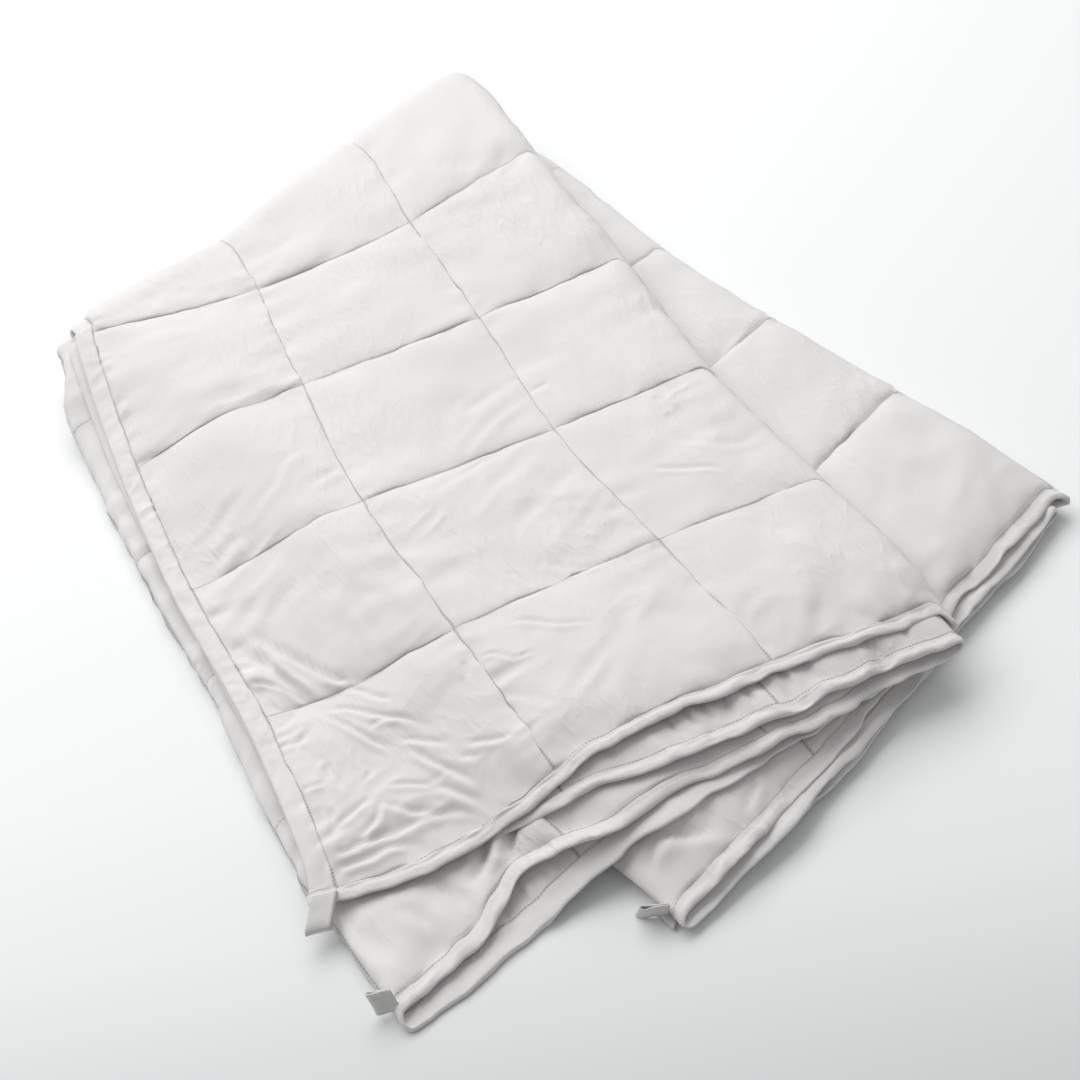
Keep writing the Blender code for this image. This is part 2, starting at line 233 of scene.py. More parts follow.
def folded(u, q):
    """Where the middle of the cloth lies, and v, metres from the first edge."""
    u, q = np.broadcast_arrays(np.asarray(u, float), np.asarray(q, float))
    a, g = section(u)
    place = np.zeros(a.shape + (3,))
    v = MARGIN + CELL * q
    for part, plan, height in ((q <= 4, plan_top, height_top), (q >= 6, plan_low, height_low)):
        x, y = plan(a[part], g[part], q[part])
        place[part] = np.stack([x, y, height(x, y, g[part], q[part])], -1)
    m = (q > 4) & (q < 6)
    if not m.any():
        return place, v
    a, g, t = a[m], g[m], (q[m] - 4) / 2
    four, six = np.full_like(t, 4.0), np.full_like(t, 6.0)
    above, near = plan_top(a, g, four), plan_top(a, g, four - 0.1)
    below, next_ = plan_low(a, g, six), plan_low(a, g, six + 0.1)
    back = weights(ACROSS, a) @ BACK_PLAN
    out = np.clip((g - 0.5) / 3.0, -0.1, 1.1)
    depth = 0.0042 + 0.0088 * (g - 0.5)
    turn = (
        back[..., 0] - depth * BACK_WAY[0],
        back[..., 1] * (1 - out) + back[..., 2] * out - depth * BACK_WAY[1],
    )
    high, low = height_top(*turn, g, four), height_low(*turn, g, six)
    half = (high - low) / 2
    reach_top = np.hypot(turn[0] - above[0], turn[1] - above[1])
    reach_low = np.hypot(turn[0] - below[0], turn[1] - below[1])
    bend = np.pi * np.sqrt((depth**2 + half**2) / 2)
    s1, s2, s3 = np.clip(t / 0.36, 0, 1), np.clip((t - 0.36) / 0.28, 0, 1), np.clip((t - 0.64) / 0.36, 0, 1)
    way_top = [(above[i] - near[i]) / 0.1 / CELL * reach_top for i in (0, 1)]
    way_low = [(next_[i] - below[i]) / 0.1 / CELL * reach_low for i in (0, 1)]
    upper = between(above, way_top, turn, [w * reach_top for w in BACK_WAY], s1)
    lower = between(turn, [-w * reach_low for w in BACK_WAY], below, way_low, s3)
    angle = np.pi * s2
    first, last = t < 0.36, t >= 0.64
    x = np.where(first, upper[0], np.where(last, lower[0], turn[0] + BACK_WAY[0] * depth * np.sin(angle)))
    y = np.where(first, upper[1], np.where(last, lower[1], turn[1] + BACK_WAY[1] * depth * np.sin(angle)))
    z = np.where(
        first,
        height_top(*upper, g, four),
        np.where(last, height_low(*lower, g, six), (high + low) / 2 + half * np.cos(angle)),
    )
    place[m] = np.stack([x, y, z], -1)
    v[m] = MARGIN + 4 * CELL + 2 * CELL * (s1 * reach_top + s2 * bend + s3 * reach_low) / (reach_top + bend + reach_low)
    return place, v


def frames(u, q):
    """Places, v and unit normals (up on the uppermost layer) of the cloth's middle."""
    eu, eq = 0.0006, 0.004
    place, v = folded(u, q)
    du = folded(np.clip(u + eu, 0, FLAT_U - 1e-6), q)[0] - folded(np.clip(u - eu, 0, FLAT_U - 1e-6), q)[0]
    dq = folded(u, q + eq)[0] - folded(u, q - eq)[0]
    normal = np.cross(du, dq)
    normal /= np.maximum(np.linalg.norm(normal, axis=-1, keepdims=True), 1e-12)
    return place, v, normal


# ---------------------------------------------------------------- noise
def lattice_values(ix, iy, seed):
    h = (ix * 374761393 + iy * 668265263 + seed * 2147483647) & 0xFFFFFFFF
    h = ((h ^ (h >> 13)) * 1274126177) & 0xFFFFFFFF
    return ((h ^ (h >> 16)) & 0xFFFF) / 32767.5 - 1.0


def noise2(x, y, seed=0):
    """Smooth value noise, -1 to 1."""
    x, y = np.broadcast_arrays(x, y)
    ix, iy = np.floor(x).astype(np.int64), np.floor(y).astype(np.int64)
    fx, fy = x - ix, y - iy
    wx, wy = fx**3 * (fx * (fx * 6 - 15) + 10), fy**3 * (fy * (fy * 6 - 15) + 10)
    n00, n10 = lattice_values(ix, iy, seed), lattice_values(ix + 1, iy, seed)
    n01, n11 = lattice_values(ix, iy + 1, seed), lattice_values(ix + 1, iy + 1, seed)
    return (n00 * (1 - wx) + n10 * wx) * (1 - wy) + (n01 * (1 - wx) + n11 * wx) * wy


def fbm(x, y, seed=0, octaves=3):
    total, size = 0.0, 1.0
    for k in range(octaves):
        total = total + size * noise2(x * 2**k, y * 2**k, seed + 17 * k)
        size *= 0.5
    return total / 1.75


# ---------------------------------------------------------------- relief
PUFF_TOP = 0.0046       # how far the uppermost face stands over its seams
PUFF_IN = 0.0021        # the like between layers
UP, DOWN = 1, -1        # the face that is up on the uppermost layer, and the other

CREASES = [
    # name, face, depth mm, width mm, points (u mm, v mm); a ridge where the depth is negative
    ("pleat_top", UP, 2.2, 4, [(32, 246), (53, 212), (73, 179), (86, 169)]),
    ("pleat_ridge", UP, -2.4, 5, [(30, 250), (42, 206), (58, 160)]),
    ("pleat_low", UP, 1.6, 2, [(17, 201), (35, 184), (49, 161)]),
    ("thin_a", UP, 0.7, 3.6, [(118, 227), (117, 199), (115, 169)]),
    ("ray_a", UP, 1.3, 3, [(54, 154), (73, 146), (89, 130), (104, 117), (120, 92)]),
    ("ray_b", UP, 1.0, 2.5, [(80, 124), (93, 122), (105, 116)]),
    ("ray_c", UP, 1.4, 3, [(54, 153), (59, 140), (68, 126), (79, 110), (92, 93)]),
    ("ray_d", UP, 1.0, 3, [(79, 167), (89, 156), (98, 142), (106, 135)]),
    ("ray_e", UP, 1.3, 3, [(96, 93), (106, 72), (115, 52), (123, 36)]),
    ("ray_f", UP, 0.9, 3, [(95, 103), (112, 87), (122, 75)]),
    ("ray_g", UP, 1.0, 3, [(130, 69), (144, 58), (156, 51)]),
    ("ray_h", UP, 1.5, 3, [(98, 55), (109, 40), (121, 22), (135, 14)]),
    ("ray_i", UP, 0.9, 2.5, [(69, 71), (84, 64), (98, 54)]),
    ("ray_j", UP, 0.8, 2.5, [(62, 112), (60, 101), (64, 88), (55, 79)]),
    ("ray_k", UP, 1.1, 3, [(40, 108), (38, 93), (41, 78)]),
    ("ray_l", UP, 0.9, 3, [(39, 140), (27, 128)]),
    ("ray_m", UP, 1.5, 3, [(25, 41), (46, 38), (68, 36), (95, 34), (117, 20)]),
    ("ray_n", UP, 1.1, 3, [(37, 43), (53, 49), (62, 62)]),
    ("ray_o", UP, 1.1, 3, [(26, 55), (42, 62), (57, 66)]),
    ("ray_p", UP, 1.1, 3, [(29, 71), (28, 60), (26, 51)]),
    ("ray_q", UP, 1.1, 3, [(90, 24), (101, 17), (111, 16)]),
    ("ray_r", UP, 1.1, 2, [(17, 92), (32, 89)]),
    ("ray_s", UP, 1.3, 3, [(18, 29), (29, 28), (42, 29), (58, 29), (76, 20)]),
    ("ray_t", UP, 1.1, 3, [(21, 37), (38, 36)]),
    ("ray_u", UP, 1.1, 3, [(61, 60), (75, 45), (95, 35)]),
    ("mid_a", UP, 0.8, 2.5, [(156, 134), (153, 115)]),
    ("mid_b", UP, 0.9, 2, [(169, 130), (178, 125), (185, 112), (202, 108)]),
    ("mid_c", UP, 0.8, 2.5, [(197, 150), (209, 138), (222, 124), (244, 109)]),
    ("mid_d", UP, 0.7, 3.6, [(165, 93), (176, 75), (185, 60), (190, 48)]),
    ("mid_e", UP, 0.8, 3, [(121, 64), (132, 52)]),
    ("long_a", UP, 0.8, 1.8, [(195, 304), (199, 284), (202, 258), (206, 233), (212, 210), (218, 193)]),
    ("long_b", UP, 0.8, 2, [(215, 194), (221, 186), (225, 169)]),
    ("mid_f", UP, 0.5, 3.6, [(243, 303), (240, 275)]),
    ("long_c", UP, 0.5, 3.6, [(204, 295), (228, 300), (257, 308), (276, 311)]),
    ("mid_g", UP, 0.7, 3.6, [(157, 245), (153, 213), (155, 185)]),
    ("mid_h", UP, 0.6, 3.6, [(135, 274), (135, 236)]),
    ("mid_i", UP, 0.6, 3.6, [(133, 311), (126, 293), (127, 280)]),
    ("mid_j", UP, 1.0, 4, [(134, 349), (150, 353), (163, 357)]),
    ("mid_k", UP, 0.7, 5, [(89, 355), (108, 365), (129, 385), (151, 390)]),
    ("mid_l", UP, 0.9, 3, [(318, 361), (333, 362)]),
    ("mid_m", UP, 0.6, 4, [(295, 411), (299, 382), (301, 351)]),
    ("mid_n", UP, 0.7, 3.6, [(243, 192), (253, 175), (262, 167), (272, 165)]),
    ("mid_o", UP, 0.6, 3.6, [(269, 241), (284, 234), (300, 218)]),
    ("mid_p", UP, 0.6, 4, [(290, 311), (292, 290), (296, 273)]),
    ("right_a", UP, 0.8, 3, [(394, 307), (396, 293), (398, 279)]),
    ("right_b", UP, 0.9, 3.5, [(375, 285), (382, 257), (400, 235), (422, 223), (450, 236)]),
    ("right_c", UP, 0.8, 3, [(349, 236), (373, 218), (393, 203)]),
    ("right_d", UP, 0.7, 3.6, [(369, 156), (380, 138), (392, 121)]),
    ("under_h1", UP, 1.0, 6, [(62, 489), (108, 482), (158, 481)]),
    ("under_h0", UP, 1.2, 5, [(30, 583), (56, 593), (85, 586), (123, 596)]),
    ("under_h0r", UP, 1.0, 5, [(328, 597), (373, 584), (407, 570), (433, 568)]),
    ("rise_a", UP, 1.0, 4, [(87, 619), (82, 643), (82, 657)]),
    ("rise_b", UP, 1.0, 4, [(101, 622), (108, 647), (120, 676)]),
    ("rise_c", UP, 1.0, 4, [(126, 619), (134, 637), (143, 658)]),
    ("back_a", UP, 1.2, 5, [(337, 664), (369, 644), (399, 625)]),
    ("back_b", UP, 1.2, 4, [(332, 691), (330, 674), (329, 657)]),
    ("fold_a", UP, 1.0, 3, [(438, 587), (443, 579)]),
    ("fold_b", UP, 1.0, 3, [(428, 569), (443, 567)]),
    ("fold_c", UP, 1.0, 3, [(423, 498), (433, 494), (441, 490)]),
    ("third_pleat_a", UP, 3.0, 4.5, [(1048, 80), (1036, 63), (1022, 50), (1012, 38)]),
    ("third_pleat_b", UP, 3.0, 4, [(1060, 68), (1050, 53), (1038, 39), (1029, 27)]),
    ("third_pleat_c", UP, 2.0, 4, [(1014, 50), (1004, 34), (999, 20)]),
    ("third_slope", UP, 1.6, 8, [(929, 95), (924, 66), (928, 48), (934, 26)]),
    ("third_dent", UP, 1.5, 5, [(950, 60), (962, 45), (968, 28)]),
    ("third_dent_b", UP, 1.2, 4, [(985, 56), (990, 42), (988, 26)]),
    ("second_gather_a", DOWN, 1.8, 3, [(1586, 52), (1583, 36), (1581, 20)]),
    ("second_gather_b", DOWN, 2.0, 3.2, [(1570, 50), (1569, 34), (1566, 18)]),
    ("second_gather_c", DOWN, 1.8, 3, [(1556, 48), (1557, 32), (1555, 18)]),
    ("second_gather_d", DOWN, 2.2, 3.2, [(1545, 50), (1543, 34), (1544, 17)]),
    ("second_gather_e", DOWN, 2.2, 3.6, [(1529, 52), (1527, 36), (1525, 17)]),
    ("second_gather_f", DOWN, 2.6, 4.5, [(1512, 50), (1514, 32), (1510, 12)]),
    ("second_gather_g", DOWN, 2.0, 3.2, [(1498, 52), (1499, 36), (1496, 18)]),
    ("second_gather_h", DOWN, 2.4, 4, [(1483, 50), (1480, 32), (1482, 16)]),
    ("second_hole", DOWN, 3.4, 5.5, [(1436, 52), (1433, 34), (1427, 8)]),
    ("second_far", DOWN, 1.6, 4, [(1408, 44), (1404, 30), (1405, 16)]),
    ("second_left", DOWN, 1.8, 4, [(1640, 44), (1632, 32), (1624, 18)]),
    ("fourth_hollow", DOWN, 3.0, 5, [(606, 44), (602, 26), (601, 4)]),
    ("fourth_hollow_b", DOWN, 2.4, 4, [(578, 40), (584, 26), (588, 10)]),
    ("fourth_dent", DOWN, 1.6, 4, [(700, 40), (706, 28), (704, 12)]),
    ("fourth_gather_a", DOWN, -2.2, 3.4, [(850, 46), (846, 28), (848, 8)]),
    ("fourth_gather_b", DOWN, -2.6, 3.8, [(833, 50), (829, 30), (831, 6)]),
    ("fourth_gather_c", DOWN, -2.0, 3.2, [(815, 44), (814, 28), (817, 9)]),
    ("fourth_gather_d", DOWN, -2.6, 3.8, [(797, 50), (799, 30), (802, 7)]),
    ("fourth_gather_e", DOWN, -2.2, 3.4, [(781, 44), (783, 28), (784, 9)]),
    ("fourth_gather_g", DOWN, 2.8, 4.2, [(744, 50), (746, 32), (745, 14)]),
    ("fifth_arc", UP, 2.0, 5, [(904, 1496), (900, 1486), (888, 1482), (876, 1488), (861, 1500), (851, 1506)]),
    ("fifth_arc_b", UP, 1.3, 3.5, [(830, 1509), (817, 1502), (806, 1502)]),
    ("fifth_bend", UP, 1.6, 6, [(905, 1440), (893, 1458), (890, 1476)]),
    ("fifth_side", UP, 1.4, 4, [(780, 1480), (770, 1492), (758, 1508)]),
    ("left_mark_a", UP, 1.6, 3.5, [(900, 376), (912, 366), (926, 352)]),
    ("left_mark_b", UP, 1.4, 3, [(902, 344), (913, 338), (924, 330)]),
    ("left_mark_c", UP, 1.5, 4, [(898, 268), (912, 262), (926, 250)]),
    ("left_mark_d", UP, 1.5, 4, [(900, 656), (913, 646), (925, 632)]),
    ("left_mark_e", UP, 1.5, 4, [(900, 505), (913, 497), (924, 488)]),
    ("left_mark_f", UP, 1.3, 4, [(902, 560), (913, 566), (924, 580)]),
    ("left_mark_g", UP, 1.3, 4, [(902, 210), (913, 205), (924, 212)]),
    ("left_mark_h", UP, 1.3, 4, [(902, 90), (913, 98), (924, 110)]),
]

CRUMPLES = [
    # name, face, u mm, v mm, reach along u, reach along v, height mm, spacing mm, turn degrees
    ("front_left", UP, 75, 42, 62, 34, 1.5, 13, 20),
    ("front_left_seam", UP, 30, 85, 22, 70, 0.9, 12, 80),
    ("front_middle", UP, 250, 32, 60, 14, 0.8, 11, 75),
    ("front_right", UP, 360, 30, 60, 12, 0.6, 12, 70),
    ("slack_a", UP, 95, 235, 70, 60, 0.8, 22, 65),
    ("slack_b", UP, 250, 95, 60, 70, 0.7, 20, 60),
    ("slack_c", UP, 395, 250, 60, 60, 0.8, 22, 15),
    ("slack_d", UP, 240, 250, 60, 60, 0.5, 24, 80),
    ("slack_e", UP, 120, 640, 90, 45, 0.8, 24, 85),
    ("slack_f", UP, 370, 620, 70, 50, 0.7, 24, 50),
    ("slack_g", UP, 90, 400, 60, 60, 0.5, 26, 40),
    ("second_face", DOWN, 1540, 34, 110, 16, 0.7, 9, 85),
    ("second_hem", DOWN, 1600, 8, 200, 8, 0.7, 16, 85),
    ("third_face", UP, 1000, 45, 60, 30, 0.8, 16, 75),
    ("third_hem", UP, 1150, 8, 220, 8, 0.7, 18, 85),
    ("fourth_hem", DOWN, 690, 8, 220, 8, 0.7, 17, 85),
    ("fifth_face", UP, 840, 1485, 70, 30, 0.9, 18, 60),
    ("fifth_hem", UP, 700, 1522, 240, 8, 0.7, 18, 85),
    ("left_side", UP, 915, 420, 28, 280, 2.4, 24, 6),
    ("right_strip", UP, 520, 1250, 60, 200, 0.5, 22, 40),
    ("top_hem", UP, 220, 6, 240, 7, 0.5, 20, 85),
    ("top_side", UP, 8, 380, 9, 340, 1.2, 12, 12),
]


def smooth_path(points):
    p = np.array(points, float)
    t = np.arange(len(p))
    fine = np.linspace(0, len(p) - 1, 6 * (len(p) - 1) + 1)
    return weights(t, fine) @ p if len(p) > 2 else np.stack([np.interp(fine, t, p[:, k]) for k in (0, 1)], -1)


def along_path(u, v, path):
    """Signed distance to a path, and how far along it, 0 to 1."""
    best, signed, where = np.full(u.shape, 1e9), np.zeros(u.shape), np.zeros(u.shape)
    n = len(path) - 1
    for k in range(n):
        (u0, v0), (u1, v1) = path[k], path[k + 1]
        du, dv = u1 - u0, v1 - v0
        long = du * du + dv * dv
        raw = ((u - u0) * du + (v - v0) * dv) / long
        s = np.clip(raw, 0, 1)
        d = np.hypot(u - u0 - s * du, v - v0 - s * dv)
        m = d < best
        best[m] = d[m]
        signed[m] = (np.sign((u - u0) * dv - (v - v0) * du) * d)[m]
        where[m] = ((k + s) / n)[m]
    return signed, where


def creases(u, v, side):
    total = np.zeros(u.shape)
    for name, face, depth, width, points in CREASES:
        if face != side:
            continue
        path = smooth_path(points) / 1000
        w, reach = width / 1000 * 0.82, 0.020
        low, high = path.min(0) - reach, path.max(0) + reach
        m = (u > low[0]) & (u < high[0]) & (v > low[1]) & (v < high[1])
        if not m.any():
            continue
        d, t = along_path(u[m], v[m], path)
        x = d / w
        brow = 1.0 if side > 0 and not (u[m].min() > 0.9 and v[m].max() < 0.12) else 0.25
        shape = -np.exp(-1.5 * x * x) + brow * (0.55 * np.exp(-((x - 1.7) / 1.1) ** 2) + 0.15 * np.exp(-((x + 2.2) / 1.8) ** 2))
        total[m] += (1.75 if side > 0 else 1.2) * depth / 1000 * shape * step(t / 0.22) * step((1 - t) / 0.30)
    for name, face, cu, cv, ru, rv, height, spacing, turn in CRUMPLES:
        if face != side:
            continue
        x, y = u * 1000 - cu, v * 1000 - cv
        m = (abs(x) < 2.2 * ru) & (abs(y) < 2.2 * rv)
        if not m.any():
            continue
        x, y = x[m], y[m]
        fade = np.exp(-((x / ru) ** 2) - (y / rv) ** 2)
        c, s = np.cos(np.radians(turn)), np.sin(np.radians(turn))
        p, q = (c * x + s * y) / (2.6 * spacing), (-s * x + c * y) / spacing
        p, q = p + 0.7 * noise2(p * 0.8, q * 0.5, 71), q + 0.8 * noise2(p * 1.1, q * 0.4, 73)
        ridges = 1 - 2.2 * np.abs(noise2(p, q, 75)) + 0.5 - 0.9 * np.abs(noise2(p * 1.9 + 3, q * 1.9, 77))
        total[m] += height / 1000 * 0.8 * fade * ridges
    return total


def relief(u, v, side):
    """How far a face of the cloth lies from its middle."""
    fu, fv = (u - MARGIN) / CELL, (v - MARGIN) / CELL
    cu, cv = np.clip(np.floor(fu), 0, COLUMNS - 1), np.clip(np.floor(fv), 0, ROWS - 1)
    su, sv = np.clip(fu - cu, 0, 1), np.clip(fv - cv, 0, 1)
    filled = (fu > 0) & (fu < COLUMNS) & (fv > 0) & (fv < ROWS)
    du, dv = np.minimum(su, 1 - su) * CELL, np.minimum(sv, 1 - sv) * CELL
    seed = 3 if side > 0 else 57
    # how full each place is
    puff = np.full(u.shape, PUFF_IN)
    if side > 0:
        puff = PUFF_IN + (PUFF_TOP - PUFF_IN) * step((0.462 - u) / 0.03) * step((0.90 - v) / 0.08)
        puff = puff + 0.0018 * step((u - 0.452) / 0.03) * step((v - 0.74) / 0.08) * (u < 0.66)
        puff = puff + 0.0016 * step((u - 0.45) / 0.03) * step((v - 1.34) / 0.05) * (u < 0.93)
        puff = puff + 0.0030 * np.exp(-(((u - 0.915) / 0.035) ** 2)) * (v < 0.8)
        puff = puff + 0.0016 * step((u - 0.93) / 0.03) * step((1.20 - u) / 0.08) * step((0.13 - v) / 0.05)
    # the cell is full almost up to its seams, and pulled in at them now and then
    pull_u = 0.55 + 0.45 * noise2(v / 0.024 + 3 * cu, u * 0 + 7.3 * cu, seed + 20)
    pull_v = 0.55 + 0.45 * noise2(u / 0.024 + 3 * cv, v * 0 + 5.1 * cv, seed + 21)
    rise_u = 0.0038 + 0.0070 * pull_u
    rise_v = 0.0045 + 0.0085 * pull_v
    if side > 0:
        near = np.where(v < 0.8, sv < 0.5, sv > 0.5)
        rise_v = rise_v * np.where(near, 0.75, 1.5)
    pillow = (1 - np.exp(-du / rise_u)) * (1 - np.exp(-dv / rise_v))
    dome = np.sin(np.pi * su) * np.sin(np.pi * sv)
    size = 0.92 + 0.22 * noise2(cu * 3.1 + 0.5, cv * 2.7 + 0.5, seed)
    height = puff * size * pillow * (0.72 + 0.30 * dome)
    # puckers that run away from the seams
    tuck_u = noise2(v / 0.0070 + 0.9 * noise2(u / 0.05, v / 0.03, seed + 1), du / 0.035 + 9 * cu, seed + 2)
    tuck_v = noise2(u / 0.0070 + 0.9 * noise2(u / 0.03, v / 0.05, seed + 3), dv / 0.035 + 9 * cv, seed + 4)
    wide_u = noise2(v / 0.017 + 0.5 * noise2(u / 0.03, v / 0.03, seed + 12), du / 0.06 + 5 * cu, seed + 5)
    wide_v = noise2(u / 0.017 + 0.5 * noise2(u / 0.03, v / 0.03, seed + 13), dv / 0.06 + 5 * cv, seed + 6)
    strong_u = 0.6 + 0.6 * noise2(v / 0.08, 3.3 * np.round(fu), seed + 15)
    strong_v = 0.6 + 0.6 * noise2(u / 0.08, 3.3 * np.round(fv), seed + 16)
    outer_u = np.where((u < 0.06) | (u > FLAT_U - 0.06), 1.7, 1.0)
    outer_v = np.where((v < 0.06) | (v > FLAT_V - 0.06), 1.6, 0.8)
    scale = np.clip(puff / PUFF_TOP, 0.45, 1.0)
    height = height + filled * scale * (
        0.00105 * outer_u * strong_u * tuck_u * np.exp(-du / 0.011) * (1 - np.exp(-du / 0.002))
        + 0.00100 * outer_v * strong_v * tuck_v * np.exp(-dv / 0.011) * (1 - np.exp(-dv / 0.002))
        + 0.00300 * outer_u * strong_u * wide_u * np.exp(-du / 0.026) * (1 - np.exp(-du / 0.004))
        + 0.00270 * outer_v * strong_v * wide_v * np.exp(-dv / 0.026) * (1 - np.exp(-dv / 0.004))
    )
    # unevenness of the filling and faint slack folds
    bent = noise2(u / 0.09, v / 0.09, seed + 18)
    soft = noise2(u / 0.060 + bent, v / 0.045, seed + 8) + 0.6 * noise2(u / 0.026, v / 0.030 + bent, seed + 9)
    lean = noise2((u + 0.6 * v) / 0.050, (v - 0.5 * u) / 0.014 + 1.2 * bent, seed + 10)
    sharp = 1 - np.abs(lean) * 2
    faint = np.clip(noise2(u / 0.07 + 11, v / 0.07, seed + 19), 0, 1)
    height = height + filled * scale * pillow * (0.0015 * soft + 0.0022 * faint * sharp)
    height = height + filled * (1 - np.exp(-np.minimum(du, dv) / 0.0028)) * creases(u, v, side)
    # the hem: a welt between the outer seam and the edge
    out_u = np.maximum(np.maximum(-fu, fu - COLUMNS), 0) * CELL
    out_v = np.maximum(np.maximum(-fv, fv - ROWS), 0) * CELL
    out = np.maximum(out_u, out_v) / MARGIN
    lengthwise = np.where(out_v > out_u, u, v)
    edge_at = 0.36 + 0.10 * noise2(lengthwise / 0.04, out * 0 + 2.5, seed + 24)
    welt = np.sin(np.pi * np.clip((out - edge_at) / (1 - edge_at), 0, 1)) ** 0.6
    band = np.sin(np.pi * np.clip(out / edge_at, 0, 1))
    dimple = noise2(lengthwise / 0.0055 + 0.6 * noise2(lengthwise / 0.02, out * 3, seed + 26), out * 1.2, seed + 22)
    plump = 0.75 + 0.55 * noise2(lengthwise / 0.034, out * 0, seed + 23) + 0.25 * noise2(lengthwise / 0.013, out * 0, seed + 25)
    side_hem = np.where(out_v > out_u, 1.0, 1.35)
    side_hem = side_hem * np.where((u > 0.50) & (u < 0.91) & (v < 0.1), 0.4, 1.0)
    pucker = noise2(lengthwise / 0.0105 + 0.6 * noise2(lengthwise / 0.03, out * 2, seed + 27), out * 0.9, seed + 28)
    hem = 0.0009 * side_hem * welt * plump + band * (0.0003 + 0.0007 * dimple) + (0.0006 * pucker + 0.0002 * dimple) * welt
    hem = hem + creases(u, v, side) * (0.35 + 0.65 * (1 - out))
    height = np.where(filled, height, hem)
    return SEAM / 2 + np.maximum(height, -0.00035)


LIFTS = [
    # name, u mm, v mm, reach along u, reach along v, height mm (up on the uppermost layer is positive)
    ("corner_top", 0, 0, 30, 30, -1.0),
    ("third_curl", 1040, 0, 30, 12, 5.0),
    ("third_curl_b", 1078, 2, 28, 13, 4.6),
    ("third_corner", 965, 2, 30, 14, 1.6),
    ("third_far", 1200, 4, 45, 14, 1.2),
    ("third_dip", 1145, 4, 24, 12, -1.4),
    ("second_near", 1660, 4, 40, 14, -1.4),
    ("second_rise", 1575, 5, 26, 13, -1.9),
    ("second_dip", 1512, 5, 16, 14, 1.6),
    ("second_rise_b", 1470, 5, 22, 13, -1.6),
    ("second_dip_b", 1431, 6, 10, 16, 1.8),
    ("fourth_near", 850, 4, 40, 14, -1.3),
    ("fourth_rise", 752, 6, 34, 18, 1.2),
    ("fourth_dip", 603, 4, 12, 16, 1.6),
    ("fourth_rise_b", 560, 4, 26, 14, -1.4),
    ("fifth_rise", 860, 1526, 30, 14, 1.6),
    ("fifth_dip", 760, 1526, 26, 12, -1.2),
    ("fifth_rise_b", 640, 1526, 40, 12, 1.2),
]

FOLDS = [
    # name, height mm (up on the uppermost layer is positive), width mm, points (u mm, v mm)
    ("third_fold_a", 2.5, 5, [(1054, 76), (1042, 58), (1030, 43), (1020, 30)]),
    ("third_fold_b", -3.0, 6, [(1046, 84), (1035, 68), (1021, 54), (1010, 40)]),
    ("third_fold_c", 3.0, 5, [(1006, 44), (1003, 28), (1000, 14), (998, 4)]),
    ("third_fold_d", -2.2, 6, [(988, 60), (990, 40), (990, 20)]),
    ("third_fold_e", -3.2, 5, [(1062, 68), (1050, 53), (1038, 38), (1030, 24)]),
    ("third_fold_h", 3.0, 8, [(1076, 58), (1066, 40), (1056, 26)]),
    ("third_fold_f", 2.0, 6, [(966, 46), (972, 28), (974, 8)]),
    ("third_fold_g", 1.8, 9, [(1090, 30), (1120, 16), (1150, 10)]),
    ("fifth_fold_a", 2.4, 7, [(892, 1500), (884, 1484), (868, 1476), (846, 1480)]),
    ("fifth_fold_b", -2.0, 7, [(880, 1506), (868, 1494), (850, 1494)]),
    ("fifth_fold_c", 2.0, 8, [(800, 1516), (782, 1500), (776, 1480)]),
    ("second_fold_a", -2.0, 5, [(1520, 34), (1518, 18), (1515, 4)]),
    ("second_fold_b", 1.8, 4, [(1506, 34), (1503, 18), (1500, 4)]),
    ("second_fold_c", -1.8, 5, [(1436, 30), (1440, 16), (1446, 4)]),
    ("second_fold_d", 1.8, 5, [(1424, 30), (1426, 16), (1428, 4)]),
    ("second_fold_e", 1.5, 5, [(1560, 34), (1562, 18), (1566, 4)]),
    ("second_fold_f", -1.5, 5, [(1600, 34), (1597, 18), (1592, 4)]),
    ("fourth_fold_a", -2.2, 4, [(822, 52), (824, 34), (826, 18)]),
    ("fourth_fold_b", 1.8, 4, [(814, 50), (815, 34), (816, 20)]),
    ("fourth_fold_c", -2.0, 4, [(790, 54), (791, 36), (793, 18)]),
    ("fourth_fold_d", 1.6, 4, [(799, 50), (800, 34), (803, 20)]),
    ("side_fold_a", 2.4, 7, [(900, 130), (916, 122), (930, 110)]),
    ("side_fold_b", -2.4, 7, [(898, 300), (915, 292), (930, 280)]),
    ("side_fold_c", -2.6, 8, [(898, 445), (915, 440), (930, 430)]),
    ("side_fold_d", 2.6, 8, [(898, 540), (915, 530), (932, 522)]),
]

